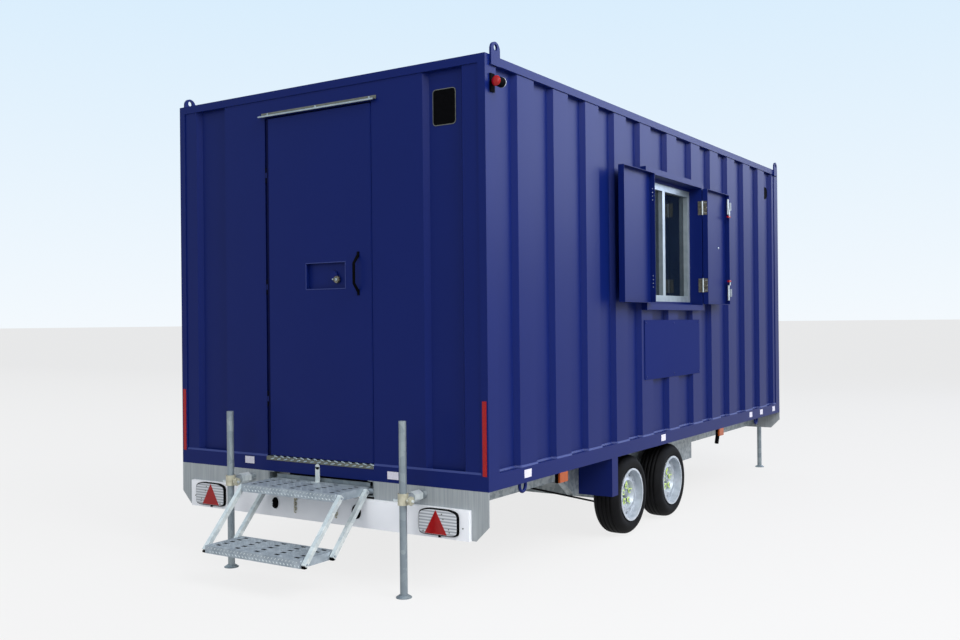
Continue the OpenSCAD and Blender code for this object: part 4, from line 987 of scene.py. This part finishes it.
class CABIN_OT_shutter_details(bpy.types.Operator):
    """Adds the red-tipped bolt rods, the knob and the hinge leaves, screws and rivets of the shutters"""

    bl_idname = "cabin.shutter_details"
    bl_label = "Shutter details"

    def execute(self, context):
        front_low = corners("front_shutter")[0]
        fit_high = corners("front_shutter_fittings")[1]
        rods, tips, knob, jamb_heads = shapes(4)
        rod_r, tip_r, tip_in, tip_out = 5 * MM, 9 * MM, 40 * MM, 4 * MM
        x, y = fit_high.x - 10 * MM, fit_high.y - 12 * MM
        for start, end in BOLT_RODS:
            rod_into(rods, (x, y, start * MM), (x, y, end * MM), rod_r, sides=14)
            rod_into(tips, (x, y + tip_out, end * MM), (x, y - tip_in, end * MM), tip_r, sides=14)
        new_object("bolt_rods", rods, "bright_zinc_plate", "front_shutter_body")
        new_object("bolt_tips", tips, "red_acrylic_lens", "front_shutter_body")

        knob_spot = at_mm(0, 3300, 1979)
        knob_spot.x = front_low.x + 6 * MM
        knob_r, knob_flat = 8 * MM, 0.8
        ball_into(knob, knob_spot, knob_r, (knob_flat, 1, 1))
        new_object("shutter_knob", knob, "bright_zinc_plate", "front_shutter_body", smooth=True)

        hinge_low, hinge_high = corners("shutter_hinges")
        tall, leaf_t, gap_from, gap_to = 104 * MM, 3 * MM, 33 * MM, 71 * MM
        leaf_in, leaf_out, jamb_in = PIN_X + 7.5 * MM, PIN_X + 36 * MM, PIN_X - 8 * MM
        head_r, flush, raised, domed, rivet_in = 3.2 * MM, 0.08, 0.3, 0.5, leaf_in + 16 * MM
        feet = (hinge_low.z, hinge_high.z - tall)
        for spot, edge, out in (("front_shutter", front_low.y, -1),
                                ("rear_shutter", corners("rear_shutter")[1].y, 1)):
            body = spot + "_body"
            leaves, heads, rivets = shapes(3)
            face = edge + out * leaf_t
            near, far = sorted((edge, face))
            for foot in feet:
                for start, end in ((foot, foot + gap_from), (foot + gap_to, foot + tall)):
                    box_into(leaves, (leaf_in, near, start), (leaf_out, far, end))
                for lift, across in SHUTTER_LEAF_SCREWS:
                    ball_into(heads, (leaf_in + across * MM, face, foot + lift * MM), head_r, (1, flush, 1))
                for lift in LEAF_RIVETS:
                    rivet = (rivet_in, edge - out * leaf_t, foot + lift * MM)
                    ball_into(rivets, rivet, head_r, (1, domed, 1))
            new_object(spot + "_hinge_leaves", leaves, "dull_rolled_steel", body, bevel=0.4 * MM)
            new_object(spot + "_hinge_screws", heads, "bright_zinc_plate", body, smooth=True)
            new_object(spot + "_rivets", rivets, "bright_zinc_plate", body, smooth=True)

        for face in (hinge_low.y + leaf_t, hinge_high.y - leaf_t):
            for foot in feet:
                for lift, across in JAMB_LEAF_SCREWS:
                    head = (jamb_in - across * MM, face, foot + lift * MM)
                    ball_into(jamb_heads, head, head_r, (1, raised, 1))
        new_object("jamb_hinge_screws", jamb_heads, "bright_zinc_plate", "cabin", smooth=True)
        return {"FINISHED"}


class CABIN_OT_door_details(bpy.types.Operator):
    """Adds the lock's recess lip as a painted highlight, rose and barrel, and the door's edge strip and a
    hinge-side strip of painted shade
    """

    bl_idname = "cabin.door_details"
    bl_label = "Door details"

    def execute(self, context):
        low, high = corners("lock_box")
        highlight_lip, rose, barrel, edge, shade_strip = shapes(5)
        door_low, door_high = corners("door_leaf")
        # The lip round the lock recess is in the lighter sealant blue, as a painted highlight on the recess
        # edges
        highlight_lip_w, highlight_lip_from = 4 * MM, door_low.y - 1.5 * MM
        for start, end in ((low.z - highlight_lip_w, low.z), (high.z, high.z + highlight_lip_w)):
            box_into(highlight_lip, (low.x - highlight_lip_w, highlight_lip_from, start), (high.x + highlight_lip_w, door_low.y, end))
        for start, end in ((low.x - highlight_lip_w, low.x), (high.x, high.x + highlight_lip_w)):
            box_into(highlight_lip, (start, highlight_lip_from, low.z), (end, door_low.y, high.z))
        new_object("lock_recess_highlight_lip", highlight_lip, "sealant_and_highlight_blue", "door")

        rose_r, rose_tip_r, barrel_r, pin_r, pin_head_r = 21 * MM, 19 * MM, 8 * MM, 3 * MM, 5 * MM
        lock = Vector((MIDDLE_X + 133 * MM, low.y, (low.z + high.z) / 2 - 23 * MM))
        pin = lock + mm(-27, 9, 2)
        rod_into(rose, lock + mm(0, 16, 0), lock + mm(0, 7, 0), rose_r, sides=32, tip=rose_tip_r)
        rod_into(barrel, lock + mm(0, 7, 0), lock + mm(0, 4, 0), barrel_r, sides=20)
        ball_into(barrel, pin, pin_head_r)
        rod_into(barrel, pin, pin + mm(0, 18, 0), pin_r, sides=12)
        new_object("lock_rose", rose, "dull_rolled_steel", "door")
        new_object("lock_barrel", barrel, "anodised_aluminium", "door", smooth=True)

        strip_low = Vector((door_high.x, door_low.y, door_low.z)) + mm(0, 1, 5)
        strip_high = Vector((door_high.x, door_low.y, door_high.z)) + mm(5.5, 10, -5)
        box_into(edge, strip_low, strip_high)
        new_object("door_edge_strip", edge, "blue_enamel_sheet", "door", bevel=0.5 * MM)
        # A blue-black strip down the door's hinge edge is painted shade: the dark line of the hinge-side gap
        shade_strip_from, shade_strip_to, shade_strip_t = door_low.x + 14.5 * MM, door_low.x + 28 * MM, 0.8 * MM
        box_into(shade_strip, (shade_strip_from, door_low.y - shade_strip_t, door_low.z), (shade_strip_to, door_low.y, door_high.z))
        new_object("hinge_side_shade_strip", shade_strip, "blue_black_painted_shade", "door")
        return {"FINISHED"}


# Rows of raised bars on the threshold in millimetres, with their lean: up its front, and inward on its top
FRONT_BARS = ((9, -0.25), (24, 0.25))
TOP_BARS = ((10, -0.6), (28, 0.6))


class CABIN_OT_threshold(bpy.types.Operator):
    """Adds the raised bars of the threshold's tread plate"""

    bl_idname = "cabin.threshold"
    bl_label = "Threshold"

    def execute(self, context):
        foot = corners("door_trim")[0].z
        count, first, pitch = 15, -390, 52
        front, top = -3 * MM, foot + 35 * MM
        front_bar, top_bar = mm(18, 2.5, 4.5), mm(14, 4, 1.6)
        bars = bmesh.new()
        for i in range(count):
            across = [(first + pitch * (i + 0.5 + row / 2)) * MM for row in range(2)]
            for row, (up, lean) in enumerate(FRONT_BARS):
                tear_into(bars, at(across[row], front, foot + up * MM), front_bar, "Y", lean)
            for row, (inward, lean) in enumerate(TOP_BARS):
                tear_into(bars, at(across[row], inward * MM, top), top_bar, "Z", lean)
        new_object("threshold_tread_bars", bars, "anodised_aluminium", "cabin", smooth=True)
        return {"FINISHED"}


class CABIN_OT_step_grip(bpy.types.Operator):
    """Adds the slotted plates and raised bars of the treads, and the plugs of the link tubes"""

    bl_idname = "cabin.step_grip"
    bl_label = "Step grip"

    def execute(self, context):
        half, sheet, pitch = 350 * MM, 2 * MM, 25 * MM
        slot_columns, slot_rows, column_pitch, row_pitch, first_row = 5, 5, 145 * MM, 50 * MM, 44 * MM
        slot_half_w, slot_half_d = 18 * MM, 11 * MM
        clear_w, clear_d, shade_inset, shade_t = 27 * MM, 20 * MM, 3 * MM, 0.4 * MM
        bars_across, slant, nosing_drops = 27, 0.785, (10 * MM, 28 * MM)
        grip_bar, nosing_bar = mm(9, 3, 1.5), mm(8, 2.5, 2)
        columns = [MIDDLE_X + (i - slot_columns // 2) * column_pitch for i in range(slot_columns)]
        left, right = MIDDLE_X - half, MIDDLE_X + half
        for node, body, depth in (("step_upper", "cabin", 285 * MM), ("step_lower", "step_tread", 275 * MM)):
            low, high = corners(node)
            back, top = low.y + depth, high.z
            rows = [low.y + first_row + row_pitch * i for i in range(slot_rows)]
            edges_x = sorted([left, right] + [c + k for c in columns for k in (-slot_half_w, slot_half_w)])
            edges_y = sorted([low.y, back] + [r + k for r in rows for k in (-slot_half_d, slot_half_d)])
            plate, shade, bars, nosing = shapes(4)
            grid = [[plate.verts.new((x, y, top)) for y in edges_y] for x in edges_x]
            for i, (a, b) in enumerate(zip(grid, grid[1:])):
                for j in range(len(edges_y) - 1):
                    if i % 2 == 0 or j % 2 == 0:
                        plate.faces.new((a[j], b[j], b[j + 1], a[j + 1]))
            raised = bmesh.ops.extrude_face_region(plate, geom=list(plate.faces))["geom"]
            lifted = [v for v in raised if isinstance(v, bmesh.types.BMVert)]
            bmesh.ops.translate(plate, verts=lifted, vec=(0, 0, sheet))
            new_object(node + "_tread_plate", plate, "galvanised_tread_sheet", body)
            # A black sheet under the slotted plate is painted shade, so the slots read dark
            box_into(shade, (left + shade_inset, low.y + shade_inset, top),
                     (right - shade_inset, back - shade_inset, top + shade_t))
            new_object(node + "_slot_shade", shade, "black_nylon_and_shade", body)
            for i in range(bars_across):
                across = MIDDLE_X + (i - bars_across // 2) * pitch
                on_column = any(abs(across - c) <= clear_w for c in columns)
                for j in range(int(depth / pitch)):
                    along = low.y + pitch * (j + 0.5)
                    if not on_column or min(abs(along - r) for r in rows) > clear_d:
                        lean = slant if (i + j) % 2 else -slant
                        tear_into(bars, (across, along, top + sheet), grip_bar, "Z", lean)
                for row, drop in enumerate(nosing_drops):
                    lean = slant if row else -slant
                    tear_into(nosing, (across + row * pitch / 2, low.y, top - drop), nosing_bar, "Y", lean)
            new_object(node + "_grip_bars", bars, "galvanised_tread_sheet", body, smooth=True)
            new_object(node + "_nosing_bars", nosing, "bright_galvanised_tube", body, smooth=True)

        tube = 25 * MM
        for node, body in (("step_front_links", "step_links_front"), ("step_rear_links", "step_links_rear")):
            low, high = corners(node)
            plugs = bmesh.new()
            for side in (low.x, high.x - tube):
                foot = Vector((side, low.y, low.z))
                box_into(plugs, foot + mm(0, 1, -3), foot + Vector((tube, 22 * MM, 9 * MM)))
            new_object(node + "_plugs", plugs, "black_nylon_and_shade", body, bevel=2 * MM)
        return {"FINISHED"}


# Studio lamps: name, place in metres, size in metres, watts and colour; the front one is cool as open sky
LAMPS = (
    ("side_softbox", (7, -0.5, 6.5), 5.0, 690, "#FFFFFF"),
    ("front_softbox", (8, 15, 7), 7.0, 800, "#D8E0FF"),
    ("rear_softbox", (2, -11, 6), 7.0, 375, "#FFFFFF"),
)


class CABIN_OT_stage(bpy.types.Operator):
    """Sets the pale floor, the soft lights and the camera"""

    bl_idname = "cabin.stage"
    bl_label = "Studio"

    def execute(self, context):
        scene = context.scene
        scene.view_settings.view_transform = "Standard"
        floor_mesh = bpy.data.meshes.new("studio_floor")
        reach = 600.0
        edge = [(-reach, -reach, 0), (reach, -reach, 0), (reach, reach, 0), (-reach, reach, 0)]
        floor_mesh.from_pydata(edge, [], [(0, 1, 2, 3)])
        floor = bpy.data.objects.new("studio_floor", floor_mesh)
        scene.collection.objects.link(floor)
        floor_mesh.materials.append(pale_floor("matt_studio_paint"))
        scene.world = scene.world or bpy.data.worlds.new("studio")
        studio_light(scene.world)

        target = at(0, BODY_L / 2, ROOF_LINE / 2)
        for name, spot, size, power, colour in LAMPS:
            lamp = bpy.data.lights.new(name, "AREA")
            lamp.size = size
            lamp.energy = power
            lamp.color = linear(colour)[:3]
            holder = bpy.data.objects.new(name, lamp)
            place = at(*spot)
            facing = (place - target).to_track_quat("Z", "Y").to_matrix().to_4x4()
            holder.matrix_world = Matrix.Translation(place) @ facing
            scene.collection.objects.link(holder)

        camera_place = at(3.8907, -4.2908, 1.4218)
        turned, raised, rolled = math.radians(32.98173), math.radians(0.09062), math.radians(-0.56411)
        ahead = Vector((-math.sin(turned) * math.cos(raised), math.cos(turned) * math.cos(raised),
                        math.sin(raised)))
        level = Vector((math.cos(turned), math.sin(turned), 0))
        upright = level.cross(ahead)
        right = level * math.cos(rolled) + upright * math.sin(rolled)
        above = right.cross(ahead)
        lens = bpy.data.cameras.new("photo_camera")
        lens.sensor_width = 36.0
        lens.sensor_fit = "HORIZONTAL"
        lens.lens = 37.49
        lens.clip_end = 2000.0
        camera = bpy.data.objects.new("photo_camera", lens)
        rows = Matrix((right, above, -ahead)).transposed().to_4x4()
        camera.matrix_world = Matrix.Translation(camera_place) @ rows
        scene.collection.objects.link(camera)
        scene.camera = camera
        return {"FINISHED"}


OPERATORS = [
    CABIN_OT_finishes,
    CABIN_OT_rear_marks,
    CABIN_OT_joint_sealant,
    CABIN_OT_tail_lamps,
    CABIN_OT_marker_lamps,
    CABIN_OT_screws,
    CABIN_OT_wheels,
    CABIN_OT_lining,
    CABIN_OT_board_fittings,
    CABIN_OT_underframe,
    CABIN_OT_round_vent,
    CABIN_OT_leg_clamps,
    CABIN_OT_shutter_details,
    CABIN_OT_door_details,
    CABIN_OT_threshold,
    CABIN_OT_step_grip,
    CABIN_OT_stage,
]


class CABIN_PT_sidebar(bpy.types.Panel):
    """Lists the cabin's steps"""

    bl_idname = "CABIN_PT_sidebar"
    bl_label = "Site cabin"
    bl_space_type = "VIEW_3D"
    bl_region_type = "UI"
    bl_category = "Site cabin"

    def draw(self, context):
        for step in OPERATORS:
            self.layout.operator(step.bl_idname)


CLASSES = [CabinFinish, CabinSizes, *OPERATORS, CABIN_PT_sidebar]


def register():
    for kind in CLASSES:
        bpy.utils.register_class(kind)
    bpy.types.Scene.cabin_finish = PointerProperty(type=CabinFinish)
    bpy.types.Scene.cabin_sizes = PointerProperty(type=CabinSizes)


def unregister():
    del bpy.types.Scene.cabin_finish
    del bpy.types.Scene.cabin_sizes
    for kind in reversed(CLASSES):
        bpy.utils.unregister_class(kind)


def main():
    register()
    for step in OPERATORS:
        group, name = step.bl_idname.split(".")
        getattr(getattr(bpy.ops, group), name)()


if __name__ == "__main__":
    main()
